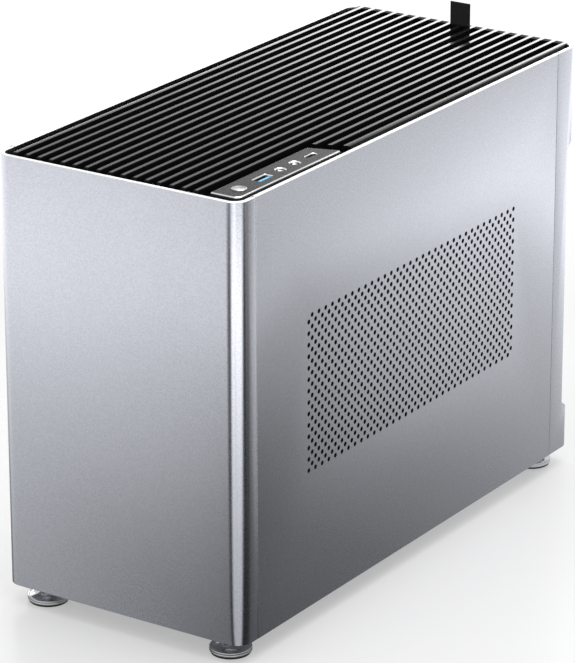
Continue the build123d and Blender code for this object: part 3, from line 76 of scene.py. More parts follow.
EDGE_LEAN = (0.02, 0.25)  # how far a rounded normal leans where an edge's mask starts and where it is full


class Finish:
    """A Principled material with short calls for the texture nodes it needs."""

    def __init__(self, name, colour, roughness, metallic=0.0, **sockets):
        self.material = bpy.data.materials.new(name)
        self.material.use_nodes = True
        self.tree = self.material.node_tree
        self.shader = self.tree.nodes["Principled BSDF"]
        self.shader.inputs["Base Color"].default_value = (*colour, 1.0)
        self.shader.inputs["Roughness"].default_value = roughness
        self.shader.inputs["Metallic"].default_value = metallic
        for socket, value in sockets.items():
            self.shader.inputs[socket.replace("_", " ")].default_value = value
        self.colour = colour
        self.normal = None
        self.coordinates = self.node("ShaderNodeTexCoord").outputs["Object"]

    def node(self, kind, **settings):
        made = self.tree.nodes.new(kind)
        for setting, value in settings.items():
            setattr(made, setting, value)
        return made

    def link(self, source, target):
        self.tree.links.new(source, target)

    def stretched(self, scale):
        """Object coordinates scaled along each axis."""
        mapping = self.node("ShaderNodeMapping")
        mapping.inputs["Scale"].default_value = scale
        self.link(self.coordinates, mapping.inputs["Vector"])
        return mapping.outputs["Vector"]

    def noise(self, scale, detail=2.0, vector=None):
        made = self.node("ShaderNodeTexNoise")
        made.inputs["Scale"].default_value = scale
        made.inputs["Detail"].default_value = detail
        self.link(vector or self.coordinates, made.inputs["Vector"])
        return made.outputs["Fac"]

    def cells(self, scale, feature="F1", output="Distance"):
        made = self.node("ShaderNodeTexVoronoi", feature=feature)
        made.inputs["Scale"].default_value = scale
        self.link(self.coordinates, made.inputs["Vector"])
        return made.outputs[output]

    def waves(self, scale, direction, distortion=0.0, vector=None):
        made = self.node("ShaderNodeTexWave", bands_direction=direction)
        made.inputs["Scale"].default_value = scale
        made.inputs["Distortion"].default_value = distortion
        self.link(vector or self.coordinates, made.inputs["Vector"])
        return made.outputs["Fac"]

    def spread(self, value, low, high, start=0.3, stop=0.7):
        """A value from start to stop, mapped to low to high."""
        made = self.node("ShaderNodeMapRange")
        self.link(value, made.inputs["Value"])
        for socket, number in zip(("From Min", "From Max", "To Min", "To Max"), (start, stop, low, high)):
            made.inputs[socket].default_value = number
        return made.outputs["Result"]

    def combine(self, kind, first, second):
        """A sum, product or the like of two values, each a number or a node's output."""
        made = self.node("ShaderNodeMath", operation=kind)
        for socket, value in zip(made.inputs, (first, second)):
            if isinstance(value, (int, float)):
                socket.default_value = value
            else:
                self.link(value, socket)
        return made.outputs["Value"]

    def tint(self, mask, colour):
        """Mixes another colour over the base where the mask is high."""
        made = self.node("ShaderNodeMix", data_type="RGBA")
        base = self.shader.inputs["Base Color"]
        if base.is_linked:
            self.link(base.links[0].from_socket, made.inputs[6])
        else:
            made.inputs[6].default_value = base.default_value
        made.inputs[7].default_value = (*colour, 1.0)
        self.link(mask, made.inputs[0])
        self.link(made.outputs[2], base)
        return self

    def roughen(self, value, low, high):
        """Lets the roughness follow a value between two levels."""
        self.link(self.spread(value, low, high), self.shader.inputs["Roughness"])
        return self

    def relief(self, height, depth):
        """Adds a bump of a depth in millimetres."""
        made = self.node("ShaderNodeBump")
        made.inputs["Strength"].default_value = 1.0
        made.inputs["Distance"].default_value = depth * MM
        self.link(height, made.inputs["Height"])
        if self.normal:
            self.link(self.normal, made.inputs["Normal"])
        self.normal = made.outputs["Normal"]
        self.link(self.normal, self.shader.inputs["Normal"])
        return self

    def edges(self, radius):
        """A mask of the sharp edges, from how far a rounded normal leans away from the true one."""
        rounded = self.node("ShaderNodeBevel", samples=4)
        rounded.inputs["Radius"].default_value = radius * MM
        plain = self.node("ShaderNodeNewGeometry")
        dot = self.node("ShaderNodeVectorMath", operation="DOT_PRODUCT")
        self.link(rounded.outputs["Normal"], dot.inputs[0])
        self.link(plain.outputs["Normal"], dot.inputs[1])
        return self.spread(self.combine("SUBTRACT", 1.0, dot.outputs["Value"]), 0.0, 1.0, *EDGE_LEAN)


def blasted_aluminium(name, colour, roughness, grain=1.0):
    """Bead-blasted, anodised aluminium: a fine even grain with faint cloudiness."""
    finish = Finish(name, colour, roughness, 1.0)
    fine = finish.noise(2600.0, 3.0)
    coarse = finish.noise(1100.0, 2.0)
    cloud = finish.noise(9.0, 3.0)
    darker = tuple(channel * 0.86 for channel in colour)
    lighter = tuple(min(1.0, channel * 1.1) for channel in colour)
    finish.tint(finish.spread(coarse, 0.0, 0.75 * grain, 0.38, 0.62), darker)
    finish.tint(finish.spread(fine, 0.0, 0.5 * grain, 0.55, 0.7), lighter)
    half_fine = finish.combine("MULTIPLY", fine, 0.5)
    half_cloud = finish.combine("MULTIPLY", cloud, 0.5)
    finish.roughen(finish.combine("ADD", half_fine, half_cloud), roughness - 0.05, roughness + 0.06)
    return finish.relief(fine, 0.016 * grain).relief(coarse, 0.01 * grain).material


def powder_coat(name, colour):
    """Fine textured powder coat on sheet steel, rubbed a little at its edges."""
    finish = Finish(name, colour, 0.5, Specular_IOR_Level=0.45)
    skin = finish.noise(900.0, 3.0)
    finish.tint(finish.spread(skin, 0.0, 0.5), tuple(c * 1.7 + 0.01 for c in colour))
    finish.tint(finish.combine("MULTIPLY", finish.edges(0.4), 0.35), (0.2, 0.2, 0.21))
    return finish.roughen(finish.noise(300.0), 0.44, 0.6).relief(skin, 0.05).material


def moulded_plastic(name, colour, roughness, texture=0.02):
    """Moulded plastic with a fine spark-eroded texture."""
    finish = Finish(name, colour, roughness, Specular_IOR_Level=0.5)
    skin = finish.noise(1700.0, 2.0)
    finish.tint(finish.spread(finish.noise(60.0, 3.0), 0.0, 0.35), tuple(c * 1.5 + 0.006 for c in colour))
    finish.roughen(finish.noise(450.0), roughness - 0.07, roughness + 0.09)
    return finish.relief(skin, texture).material


def plated_steel(name, colour, roughness):
    """Zinc or nickel plated sheet with faint rolling lines."""
    finish = Finish(name, colour, roughness, 1.0)
    lines = finish.noise(400.0, 3.0, finish.stretched((1.0, 1.0, 12.0)))
    patches = finish.cells(160.0, output="Color")
    finish.tint(finish.spread(patches, 0.0, 0.35, 0.2, 0.8), tuple(c * 0.8 for c in colour))
    finish.tint(finish.combine("MULTIPLY", finish.edges(0.25), 0.4), (0.85, 0.85, 0.86))
    return finish.roughen(lines, roughness - 0.08, roughness + 0.1).relief(lines, 0.006).material


def polished_metal(name, colour, roughness=0.07):
    """Polished plated metal with hairline scratches and slight smears."""
    finish = Finish(name, colour, roughness, 1.0)
    scratches = finish.noise(700.0, 4.0, finish.stretched((1.0, 6.0, 1.0)))
    smears = finish.noise(70.0, 3.0)
    finish.tint(finish.spread(smears, 0.0, 0.2), tuple(c * 0.9 for c in colour))
    return finish.roughen(smears, roughness, roughness + 0.09).relief(scratches, 0.0015).material


def circuit_board(name, mask_colour):
    """Solder mask over copper: traces as faint raised lines, over a faint brick-like grid."""
    finish = Finish(name, mask_colour, 0.35, Coat_Weight=0.4, Coat_Roughness=0.2)
    bricks = finish.node("ShaderNodeTexBrick")
    swap = finish.stretched((0.0, 1.0, 1.0))
    turned = finish.node("ShaderNodeVectorRotate", rotation_type="EULER_XYZ")
    turned.inputs["Rotation"].default_value = (0.0, math.radians(-90), 0.0)
    finish.link(swap, turned.inputs["Vector"])
    finish.link(turned.outputs["Vector"], bricks.inputs["Vector"])
    bricks.inputs["Scale"].default_value = 210.0
    bricks.inputs["Mortar Size"].default_value = 0.06
    traces = finish.cells(95.0, "DISTANCE_TO_EDGE")
    lanes = finish.spread(traces, 1.0, 0.0, 0.02, 0.05)
    bonds = finish.combine("MULTIPLY", bricks.outputs["Fac"], 0.5)
    finish.tint(bonds, tuple(c * 2.2 + 0.01 for c in mask_colour))
    finish.tint(finish.combine("MULTIPLY", lanes, 0.6), tuple(c * 2.8 + 0.015 for c in mask_colour))
    return finish.roughen(finish.noise(500.0), 0.3, 0.42).relief(lanes, 0.03).material


def black_anodised(name, colour, roughness, ior):
    """Black anodised aluminium: dark, with a sealed satin surface and a fine draw grain along Y."""
    finish = Finish(name, colour, roughness, 0.0, IOR=ior)
    draw = finish.noise(1500.0, 3.0, finish.stretched((1.0, 0.04, 1.0)))
    grain = finish.noise(2400.0, 2.0)
    finish.tint(finish.combine("MULTIPLY", finish.edges(0.2), 0.5), tuple(c + 0.04 for c in colour))
    finish.roughen(draw, roughness - 0.03, roughness + 0.05)
    return finish.relief(grain, 0.005).relief(draw, 0.003).material


def spun_metal(name, centre):
    """Metal turned on a lathe: fine rings round an upright axis."""
    finish = Finish(name, (0.56, 0.57, 0.59), 0.26, 1.0)
    mapping = finish.node("ShaderNodeMapping")
    mapping.inputs["Location"].default_value = (-centre[0], -centre[1], 0.0)
    finish.link(finish.coordinates, mapping.inputs["Vector"])
    rings = finish.node("ShaderNodeTexWave", wave_type="RINGS", rings_direction="Z")
    rings.inputs["Scale"].default_value = 900.0
    rings.inputs["Distortion"].default_value = 0.3
    finish.link(mapping.outputs["Vector"], rings.inputs["Vector"])
    finish.tint(finish.spread(finish.noise(420.0), 0.0, 0.4), (0.5, 0.5, 0.52))
    return finish.roughen(rings.outputs["Fac"], 0.2, 0.34).relief(rings.outputs["Fac"], 0.01).material


def woven_band(name, colour):
    """A closely woven band: ribs across it, with a finer twill."""
    finish = Finish(name, colour, 0.85, Sheen_Weight=0.08, Sheen_Roughness=0.5, Specular_IOR_Level=0.25)
    ribs = finish.waves(1160.0, "Z")
    warp = finish.waves(1660.0, "X", 0.4)
    cloth = finish.combine("MULTIPLY", ribs, warp)
    finish.tint(finish.spread(cloth, 0.0, 0.6, 0.2, 0.8), tuple(c * 3 + 0.012 for c in colour))
    fuzz = finish.spread(finish.noise(1900.0, 3.0), 0.0, 0.6, 0.45, 0.7)
    finish.tint(fuzz, tuple(c * 4 + 0.02 for c in colour))
    return finish.relief(finish.noise(3000.0, 3.0), 0.03).material


def filter_mesh(name):
    """Fine woven filter mesh."""
    finish = Finish(name, (0.012, 0.012, 0.013), 0.6)
    weft = finish.waves(700.0, "Y")
    warp = finish.waves(700.0, "X")
    cloth = finish.combine("MAXIMUM", weft, warp)
    finish.tint(finish.spread(cloth, 0.0, 1.0, 0.5, 0.95), (0.045, 0.045, 0.047))
    return finish.relief(cloth, 0.1).material


def soft_rubber(name, colour=(0.012, 0.012, 0.013)):
    """Matt rubber with a little dust on it."""
    finish = Finish(name, colour, 0.75, Specular_IOR_Level=0.3)
    dust = finish.noise(260.0, 4.0)
    finish.tint(finish.spread(dust, 0.0, 0.4, 0.5, 0.75), (0.05, 0.05, 0.05))
    return finish.roughen(dust, 0.66, 0.85).relief(finish.noise(1300.0, 2.0), 0.03).material


def sleeved(name, colour):
    """Braided sleeving on a cable."""
    finish = Finish(name, colour, 0.7, Sheen_Weight=0.2)
    one = finish.waves(330.0, "DIAGONAL")
    other = finish.waves(330.0, "DIAGONAL", vector=finish.stretched((1.0, -1.0, 1.0)))
    braid = finish.combine("MULTIPLY", one, other)
    finish.tint(finish.spread(braid, 0.0, 0.7), tuple(c * 3 + 0.015 for c in colour))
    return finish.relief(braid, 0.25).material


shell_metal = blasted_aluminium("shell_metal", (0.60, 0.615, 0.665), 0.25)
bright_edge = polished_metal("bright_edge", (0.94, 0.945, 0.96), 0.2)
# A whiter, rougher copy of the shell metal for the rim's top faces: a painted highlight along the machined
# edge.
rim_painted_highlight = polished_metal("rim_painted_highlight", (0.97, 0.975, 0.99), 0.5)
strip_black = black_anodised("strip_black", (0.018, 0.018, 0.019), 0.24, 1.17)
jack_ring = polished_metal("jack_ring", (0.95, 0.95, 0.96), 0.22)
grille_metal = black_anodised("grille_metal", (0.005, 0.005, 0.0055), 0.12, 1.6)
# A duller, darker copy of the grille's black metal for its sides and the rear bar's tops between the fins:
# painted shade.
grille_painted_shade = black_anodised("grille_painted_shade", (0.004, 0.004, 0.0045), 0.55, 1.15)
chrome = polished_metal("chrome", (0.8, 0.8, 0.81), 0.06)
nickel = plated_steel("nickel", (0.62, 0.61, 0.58), 0.25)
zinc = plated_steel("zinc", (0.5, 0.51, 0.53), 0.34)
steel_black = powder_coat("steel_black", (0.018, 0.018, 0.02))
plastic_black = moulded_plastic("plastic_black", (0.012, 0.012, 0.013), 0.42)
plastic_grey = moulded_plastic("plastic_grey", (0.05, 0.05, 0.054), 0.45)
plastic_blue = moulded_plastic("plastic_blue", (0.08, 0.42, 0.68), 0.35)
board_mask = circuit_board("board_mask", (0.008, 0.011, 0.014))
fin_metal = plated_steel("fin_metal", (0.72, 0.73, 0.75), 0.3)
dark_metal = blasted_aluminium("dark_metal", (0.06, 0.062, 0.07), 0.4)
rubber = soft_rubber("rubber")
jacket = soft_rubber("jacket", (0.018, 0.018, 0.019))
braid = sleeved("braid", (0.012, 0.012, 0.013))
ribbon_cloth = woven_band("ribbon_cloth", (0.004, 0.004, 0.0045))
mesh_cloth = filter_mesh("mesh_cloth")
brass = polished_metal("brass", (0.72, 0.5, 0.2), 0.22)

# ---- Mesh helpers -----------------------------------------------------------------------------------------


def show(name, bm, materials, body, node=None, bevel=None, smooth=30.0):
    """Turns a bmesh into a piece that rides on a body, and stands for a CAD node if one is named."""
    bmesh.ops.recalc_face_normals(bm, faces=bm.faces)
    mesh = bpy.data.meshes.new(name)
    bm.to_mesh(mesh)
    bm.free()
    obj = bpy.data.objects.new(name, mesh)
    bpy.context.scene.collection.objects.link(obj)
    for material in materials:
        mesh.materials.append(material)
    mesh.shade_smooth()
    if bevel:
        rounding = obj.modifiers.new("rounding", "BEVEL")
        rounding.width = bevel * MM
        rounding.segments = 2
        rounding.limit_method = "ANGLE"
        rounding.angle_limit = math.radians(smooth)
        rounding.use_clamp_overlap = False
        rounding.harden_normals = True
    else:
        mesh.set_sharp_from_angle(angle=math.radians(smooth))
    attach(obj, body)
    if node:
        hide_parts(node)
    return obj


def cleaned(node):
    """A copy of a CAD node's mesh with its flat areas merged into whole faces."""
    bm = bmesh.new()
    bm.from_mesh(NODES[node].data)
    bmesh.ops.remove_doubles(bm, verts=bm.verts, dist=0.002 * MM)
    bmesh.ops.dissolve_limit(bm, angle_limit=math.radians(0.5), verts=bm.verts, edges=bm.edges)
    for face in bm.faces:
        face.material_index = 0
    return bm


def polished(node, material, bevel=0.15, extra=None):
    """Stands for a CAD node with the same shape, its sharp edges rounded. extra adds (material, test) pairs."""
    bm = cleaned(node)
    materials = [material]
    for other, test in extra or []:
        materials.append(other)
        for face in bm.faces:
            if test(face):
                face.material_index = len(materials) - 1
    return show(node + "_shape", bm, materials, BODY_OF[node], node, bevel)


def block(bm, low, high):
    """A box between two corners."""
    corners = [
        bm.verts.new((x, y, z))
        for x in (low[0], high[0]) for y in (low[1], high[1]) for z in (low[2], high[2])
    ]
    for loop in ((0, 1, 3, 2), (4, 6, 7, 5), (0, 4, 5, 1), (2, 3, 7, 6), (0, 2, 6, 4), (1, 5, 7, 3)):
        bm.faces.new([corners[i] for i in loop])


LATHE_SIDES = 96


def lathe(bm, centre, profile, index=0, closed=True):
    """Turns a profile of (radius, height) points round an upright axis."""
    rings = []
    for radius, height in profile:
        ring = []
        for step in range(LATHE_SIDES):
            angle = 2 * math.pi * step / LATHE_SIDES
            x, y = centre[0] + radius * math.cos(angle), centre[1] + radius * math.sin(angle)
            ring.append(bm.verts.new((x, y, centre[2] + height)))
        rings.append(ring)
    pairs = list(zip(rings, rings[1:])) + ([(rings[-1], rings[0])] if closed else [])
    for lower, upper in pairs:
        for step in range(LATHE_SIDES):
            after = (step + 1) % LATHE_SIDES
            bm.faces.new((lower[step], lower[after], upper[after], upper[step])).material_index = index


# ---- Shell ------------------------------------------------------------------------------------------------

RIM_DEPTH = 0.6 * MM
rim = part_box("front_cover")[1].z


def on_rim(face):
    """Faces of the machined edge that runs round the top of the shell, which take a whiter copy of the shell
    metal as a painted highlight.
    """
    return face.normal.z > 0.3 and face.calc_center_median().z > rim - RIM_DEPTH


# The rim's top faces take the whiter metal: a painted highlight.
for node in ("front_cover", "rear_frame"):
    polished(node, shell_metal, 0.12, [(rim_painted_highlight, on_rim)])

HOLE_STEP = 5.0 / math.sqrt(2) * MM
HOLE_RADIUS = 1.4 * MM
HOLE_CHAMFER = 0.08 * MM
HOLE_COLUMNS = 66
HOLE_HALF_ROWS = 28
HOLE_SIDES = 24
SHELL_FRONT = -0.18875
FIELD_FROM_FRONT = 0.1846
FIELD_CENTRE_Y = SHELL_FRONT + FIELD_FROM_FRONT
PANEL_EDGE = 0.35 * MM

# The tongue along each upright edge of a side panel.
TONGUE_LENGTH = 2.9 * MM
TONGUE_HALF_THICKNESS = 0.5 * MM
TONGUE_FROM_BOTTOM = 6.1 * MM
TONGUE_OVERLAP = 0.0002


def perforated_panel(node, outer_x, inner_x):
    """A flat panel with a staggered field of round, lightly chamfered holes.

    Each hole sits in its own lozenge of plate, and the rest of the plate is filled in round them. The holes'
    chamfers and walls are near black: painted shade inside the holes.
    """
    low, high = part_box(node)
    low_y, high_y = low.y + TONGUE_LENGTH, high.y - TONGUE_LENGTH
    out = 1 if outer_x > inner_x else -1
    centre_z = (low.z + high.z) / 2
    first_y = FIELD_CENTRE_Y - (HOLE_COLUMNS - 1) / 2 * HOLE_STEP
    first_z = centre_z + (HOLE_HALF_ROWS - 1) / 2 * HOLE_STEP
    holes = [
        (column, row) for column in range(HOLE_COLUMNS) for row in range((column + 1) % 2, HOLE_HALF_ROWS, 2)
    ]
    bm = bmesh.new()
    corner_steps = ((1, 0), (0, 1), (-1, 0), (0, -1))
    faces_x = (outer_x, inner_x)
    lattice = [{}, {}]

    def lattice_vertex(side, key):
        if key not in lattice[side]:
            place = (faces_x[side], first_y + key[0] * HOLE_STEP, first_z - key[1] * HOLE_STEP)
            lattice[side][key] = bm.verts.new(place)
        return lattice[side][key]

    edge_count = {}
    levels = (
        (outer_x, HOLE_RADIUS + HOLE_CHAMFER),
        (outer_x - out * HOLE_CHAMFER, HOLE_RADIUS),
        (inner_x + out * HOLE_CHAMFER, HOLE_RADIUS),
        (inner_x, HOLE_RADIUS + HOLE_CHAMFER),
    )
    quarter = HOLE_SIDES // 4
    for column, row in holes:
        y, z = first_y + column * HOLE_STEP, first_z - row * HOLE_STEP
        rings = []
        for x, radius in levels:
            turns = [2 * math.pi * step / HOLE_SIDES for step in range(HOLE_SIDES)]
            rings.append([bm.verts.new((x, y + radius * math.cos(a), z - radius * math.sin(a))) for a in turns])
        # The chamfers and walls of each hole take the near-black material: painted shade inside the hole.
        for upper, lower in zip(rings, rings[1:]):
            for step in range(HOLE_SIDES):
                after = (step + 1) % HOLE_SIDES
                bm.faces.new((upper[step], upper[after], lower[after], lower[step])).material_index = 1
        for side, ring in ((0, rings[0]), (1, rings[-1])):
            corners = [lattice_vertex(side, (column + dy, row + dz)) for dy, dz in corner_steps]
            for number, corner in enumerate(corners):
                middle = number * quarter
                for step in range(middle - quarter // 2, middle + quarter // 2):
                    bm.faces.new((corner, ring[step % HOLE_SIDES], ring[(step + 1) % HOLE_SIDES]))
                bm.faces.new((corner, ring[(middle + quarter // 2) % HOLE_SIDES], corners[(number + 1) % 4]))
        keys = [(column + dy, row + dz) for dy, dz in corner_steps]
        for start, end in zip(keys, keys[1:] + keys[:1]):
            pair = frozenset((start, end))
            edge_count[pair] = edge_count.get(pair, 0) + 1

    rim_edges = {}
    for pair, count in edge_count.items():
        if count == 1:
            start, end = tuple(pair)
            rim_edges.setdefault(start, []).append(end)
            rim_edges.setdefault(end, []).append(start)
    loop = [min(rim_edges)]
    before = None
    while True:
        options = [key for key in rim_edges[loop[-1]] if key != before]
        before = loop[-1]
        if options[0] == loop[0]:
            break
        loop.append(options[0])

    rectangles = []
    for x, inset in (
        (outer_x, PANEL_EDGE),
        (outer_x - out * PANEL_EDGE * 0.3, PANEL_EDGE * 0.3),
        (outer_x - out * PANEL_EDGE, 0.0),
        (inner_x + out * PANEL_EDGE, 0.0),
        (inner_x, PANEL_EDGE),
    ):
        ends_y = (low_y + inset * 0.6, high_y - inset * 0.6)
        ends_z = (low.z + inset, high.z - inset)
        ring = [(ends_y[0], ends_z[0]), (ends_y[1], ends_z[0]), (ends_y[1], ends_z[1]), (ends_y[0], ends_z[1])]
        rectangles.append([bm.verts.new((x, y, z)) for y, z in ring])
    for upper, lower in zip(rectangles, rectangles[1:]):
        for step in range(4):
            after = (step + 1) % 4
            bm.faces.new((upper[step], upper[after], lower[after], lower[step]))
    for side, outline in ((0, rectangles[0]), (1, rectangles[-1])):
        inner = [lattice_vertex(side, key) for key in loop]
        points = [[(v.co.y, v.co.z, 0.0) for v in ring] for ring in (outline, inner)]
        vertices = outline + inner
        for triangle in tessellate_polygon(points):
            if len({*triangle}) == 3:
                bm.faces.new([vertices[i] for i in triangle])
    middle_x = (outer_x + inner_x) / 2
    for near, far in ((low.y, low_y + TONGUE_OVERLAP), (high_y - TONGUE_OVERLAP, high.y)):
        tongue_foot = (middle_x - TONGUE_HALF_THICKNESS, near, low.z + TONGUE_FROM_BOTTOM)
        tongue_head = (middle_x + TONGUE_HALF_THICKNESS, far, rim - PANEL_EDGE)
        block(bm, tongue_foot, tongue_head)
    bm.normal_update()
    bmesh.ops.recalc_face_normals(bm, faces=bm.faces)
    # The rim's top faces take the whiter metal: a painted highlight.
    for face in bm.faces:
        if on_rim(face):
            face.material_index = 2
    return show(node + "_shape", bm, [shell_metal, hole_painted_shade, rim_painted_highlight], BODY_OF[node], node)


# Near black for the holes' walls and chamfers: painted shade inside the holes.
hole_painted_shade = moulded_plastic("hole_painted_shade", (0.004, 0.004, 0.0045), 0.6, 0.01)
right_low, right_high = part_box("side_panel_right")
left_low, left_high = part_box("side_panel_left")
perforated_panel("side_panel_right", right_high.x, right_low.x)
perforated_panel("side_panel_left", left_low.x, left_high.x)

# ---- Top --------------------------------------------------------------------------------------------------

grille_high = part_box("top_grille")[1]
FIN_COUNT = 19
FIN_PITCH = 8.41 * MM
FIN_HALF_WIDTH = 1.4 * MM
REAR_BAR_FROM = grille_high.y - 4.0 * MM
TOP_LEVEL_FROM = grille_high.z - 1.0 * MM
LEVEL = 0.9  # a face whose normal's z is above this counts as level


def between_fins(x):
    """Whether a place across the grille lies in a gap between two fins."""
    from_fin = (x + FIN_PITCH / 2) % FIN_PITCH - FIN_PITCH / 2
    return abs(from_fin) > FIN_HALF_WIDTH


def takes_grille_painted_shade(face):
    """Every face of the grille that takes the painted shade: all but the level tops of its fins and rails, the
    rear bar's level tops between the fins included.
    """
    middle = face.calc_center_median()
    low = face.normal.z < LEVEL or middle.z < TOP_LEVEL_FROM
    return low or (middle.y > REAR_BAR_FROM and between_fins(middle.x))


def cut_faces(bm, faces, place, normal):
    """Cuts some of a mesh's faces along a plane."""
    edges = {edge for face in faces for edge in face.edges}
    verts = {vert for face in faces for vert in face.verts}
    bmesh.ops.bisect_plane(bm, geom=[*verts, *edges, *faces], plane_co=place, plane_no=normal)


def bar_tops(bm):
    """The level faces on top of the grille's rear bar."""
    return [
        face for face in bm.faces
        if face.normal.z > LEVEL and face.calc_center_median().z > TOP_LEVEL_FROM
        and face.calc_center_median().y > REAR_BAR_FROM
    ]


# The grille's sides, and the rear bar's tops between the fins, take the duller, darker copy of its metal:
# painted shade. Only the level tops of the fins and rails keep the reflective finish.
bm = cleaned("top_grille")
level = [face for face in bm.faces if face.normal.z > LEVEL]
cut_faces(bm, level, (0.0, REAR_BAR_FROM, 0.0), (0.0, 1.0, 0.0))
for fin in range(FIN_COUNT):
    for side in (-FIN_HALF_WIDTH, FIN_HALF_WIDTH):
        edge_x = (fin - (FIN_COUNT - 1) / 2) * FIN_PITCH + side
        cut_faces(bm, bar_tops(bm), (edge_x, 0.0, 0.0), (1.0, 0.0, 0.0))
for face in bm.faces:
    face.material_index = int(takes_grille_painted_shade(face))
show("top_grille_shape", bm, [grille_metal, grille_painted_shade], BODY_OF["top_grille"], "top_grille", smooth=1.0)
polished("dust_filter", mesh_cloth, None)

# Ribbon: a woven band folded over itself, with a cord along each edge.
ribbon_low, ribbon_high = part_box("pull_ribbon")
RIBBON_FOLD = 0.3 * MM
RIBBON_HALF_THICKNESS = 0.2 * MM
RIBBON_CORD = 0.29 * MM
RIB_PITCH = 0.86 * MM
WARP_PITCH = 0.6 * MM
RIB_RELIEF = 0.05 * MM
ribbon_width = ribbon_high.x - ribbon_low.x
ribbon_middle_y = (ribbon_low.y + ribbon_high.y) / 2
fold_z = ribbon_high.z - RIBBON_FOLD - RIBBON_CORD - RIB_RELIEF
straight = fold_z - ribbon_low.z
fold_length = math.pi * RIBBON_FOLD
ribbon_length = 2 * straight + fold_length


def fold_point(along):
    """The middle line of the folded band: (y, z, outward y, outward z) at a length along it."""
    if along < straight:
        return ribbon_middle_y - RIBBON_FOLD, ribbon_low.z + along, -1.0, 0.0
    if along < straight + fold_length:
        angle = math.pi - (along - straight) / RIBBON_FOLD
        out_y, out_z = math.cos(angle), math.sin(angle)
        return ribbon_middle_y + RIBBON_FOLD * out_y, fold_z + RIBBON_FOLD * out_z, out_y, out_z
    return ribbon_middle_y + RIBBON_FOLD, fold_z - (along - straight - fold_length), 1.0, 0.0


bm = bmesh.new()
across_steps = 120
along_steps = round(ribbon_length / RIB_PITCH * 5)
sheets = []
for face_sign in (1, -1):
    rows = []
    for i in range(along_steps + 1):
        along = ribbon_length * i / along_steps
        y, z, out_y, out_z = fold_point(along)
        row = []
        for j in range(across_steps + 1):
            across = ribbon_width * j / across_steps
            edge = min(across, ribbon_width - across)
            rib = math.cos(2 * math.pi * along / RIB_PITCH)
            warp = math.cos(2 * math.pi * across / WARP_PITCH)
            weave = RIB_RELIEF * rib * warp
            thick = RIBBON_HALF_THICKNESS + weave
            if edge < 2 * RIBBON_CORD:
                lean = 1 - edge / RIBBON_CORD
                thick = (RIBBON_CORD + 0.3 * weave) * math.sqrt(max(0.0, 1 - lean * lean))
            elif edge < 2.6 * RIBBON_CORD:
                thick = 0.6 * RIBBON_HALF_THICKNESS
            offset = face_sign * thick
            row.append(bm.verts.new((ribbon_low.x + across, y + out_y * offset, z + out_z * offset)))
        rows.append(row)
    sheets.append(rows)
for rows in sheets:
    for lower, upper in zip(rows, rows[1:]):
        for j in range(across_steps):
            bm.faces.new((lower[j], lower[j + 1], upper[j + 1], upper[j]))
for end in (0, -1):
    front, back = sheets[0][end], sheets[1][end]
    for j in range(across_steps):
        bm.faces.new((front[j], front[j + 1], back[j + 1], back[j]))
bmesh.ops.remove_doubles(bm, verts=bm.verts, dist=0.001 * MM)
bmesh.ops.recalc_face_normals(bm, faces=bm.faces)
ribbon = show("pull_ribbon_shape", bm, [ribbon_cloth], BODY_OF["pull_ribbon"], "pull_ribbon", smooth=60.0)


def is_bevel(face):
    """The sloping bevel round the strip or round a socket's mouth."""
    return 0.3 < face.normal.z < 0.95


# I/O strip: a dark body, bright only on the top of its bevel.
strip_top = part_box("io_plate")[1].z
BRIGHT_LINE = 0.6 * MM
bright_from = strip_top - BRIGHT_LINE
bm = cleaned("io_bezel")
whole = bm.verts[:] + bm.edges[:] + bm.faces[:]
bmesh.ops.bisect_plane(bm, geom=whole, plane_co=(0.0, 0.0, bright_from), plane_no=(0, 0, 1))
for face in bm.faces:
    face.material_index = int(is_bevel(face) and face.calc_center_median().z > bright_from)
show("io_bezel_shape", bm, [strip_black, bright_edge], BODY_OF["io_bezel"], "io_bezel", 0.03)
polished("io_plate", strip_black, None)

for node in ("usb_a_shell", "usb_c_shell"):
    polished(node, strip_black, None, [(jack_ring, is_bevel)])

# The blue tongue stands nearer the mouth than in the CAD, as the photo shows it.
TONGUE_RISE = 0.9 * MM
tongue_low, tongue_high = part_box("usb_a_tongue")
bm = bmesh.new()
block(bm, tongue_low, (tongue_high.x, tongue_high.y, tongue_high.z + TONGUE_RISE))
show("usb_a_tongue_shape", bm, [plastic_blue], BODY_OF["usb_a_tongue"], "usb_a_tongue", 0.15)
polished("usb_c_tongue", plastic_black, 0.05)

# Headset jacks: two bright rings, one inside the other, with dark steps between them.
JACK_PROFILE = [
    (0.0, -20.6), (3.6, -20.6), (3.6, 0.0), (3.45, 0.0), (2.72, -0.73), (2.66, -1.3), (2.42, -1.35),
    (1.86, -1.91), (1.8, -2.0), (1.8, -14.5), (0.0, -14.5),
]
BRIGHT_STEPS = (3, 6)
jack_low, jack_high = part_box("audio_jacks")
jack_radius = JACK_PROFILE[1][0] * MM
bm = bmesh.new()
for y in (jack_low.y + jack_radius, jack_high.y - jack_radius):
    for step, (start, end) in enumerate(zip(JACK_PROFILE, JACK_PROFILE[1:])):
        points = [(radius * MM, height * MM) for radius, height in (start, end)]
        centre = ((jack_low.x + jack_high.x) / 2, y, strip_top)
        lathe(bm, centre, points, index=int(step in BRIGHT_STEPS), closed=False)
bmesh.ops.remove_doubles(bm, verts=bm.verts, dist=0.001 * MM)
show("audio_jacks_shape", bm, [strip_black, jack_ring], BODY_OF["audio_jacks"], "audio_jacks")

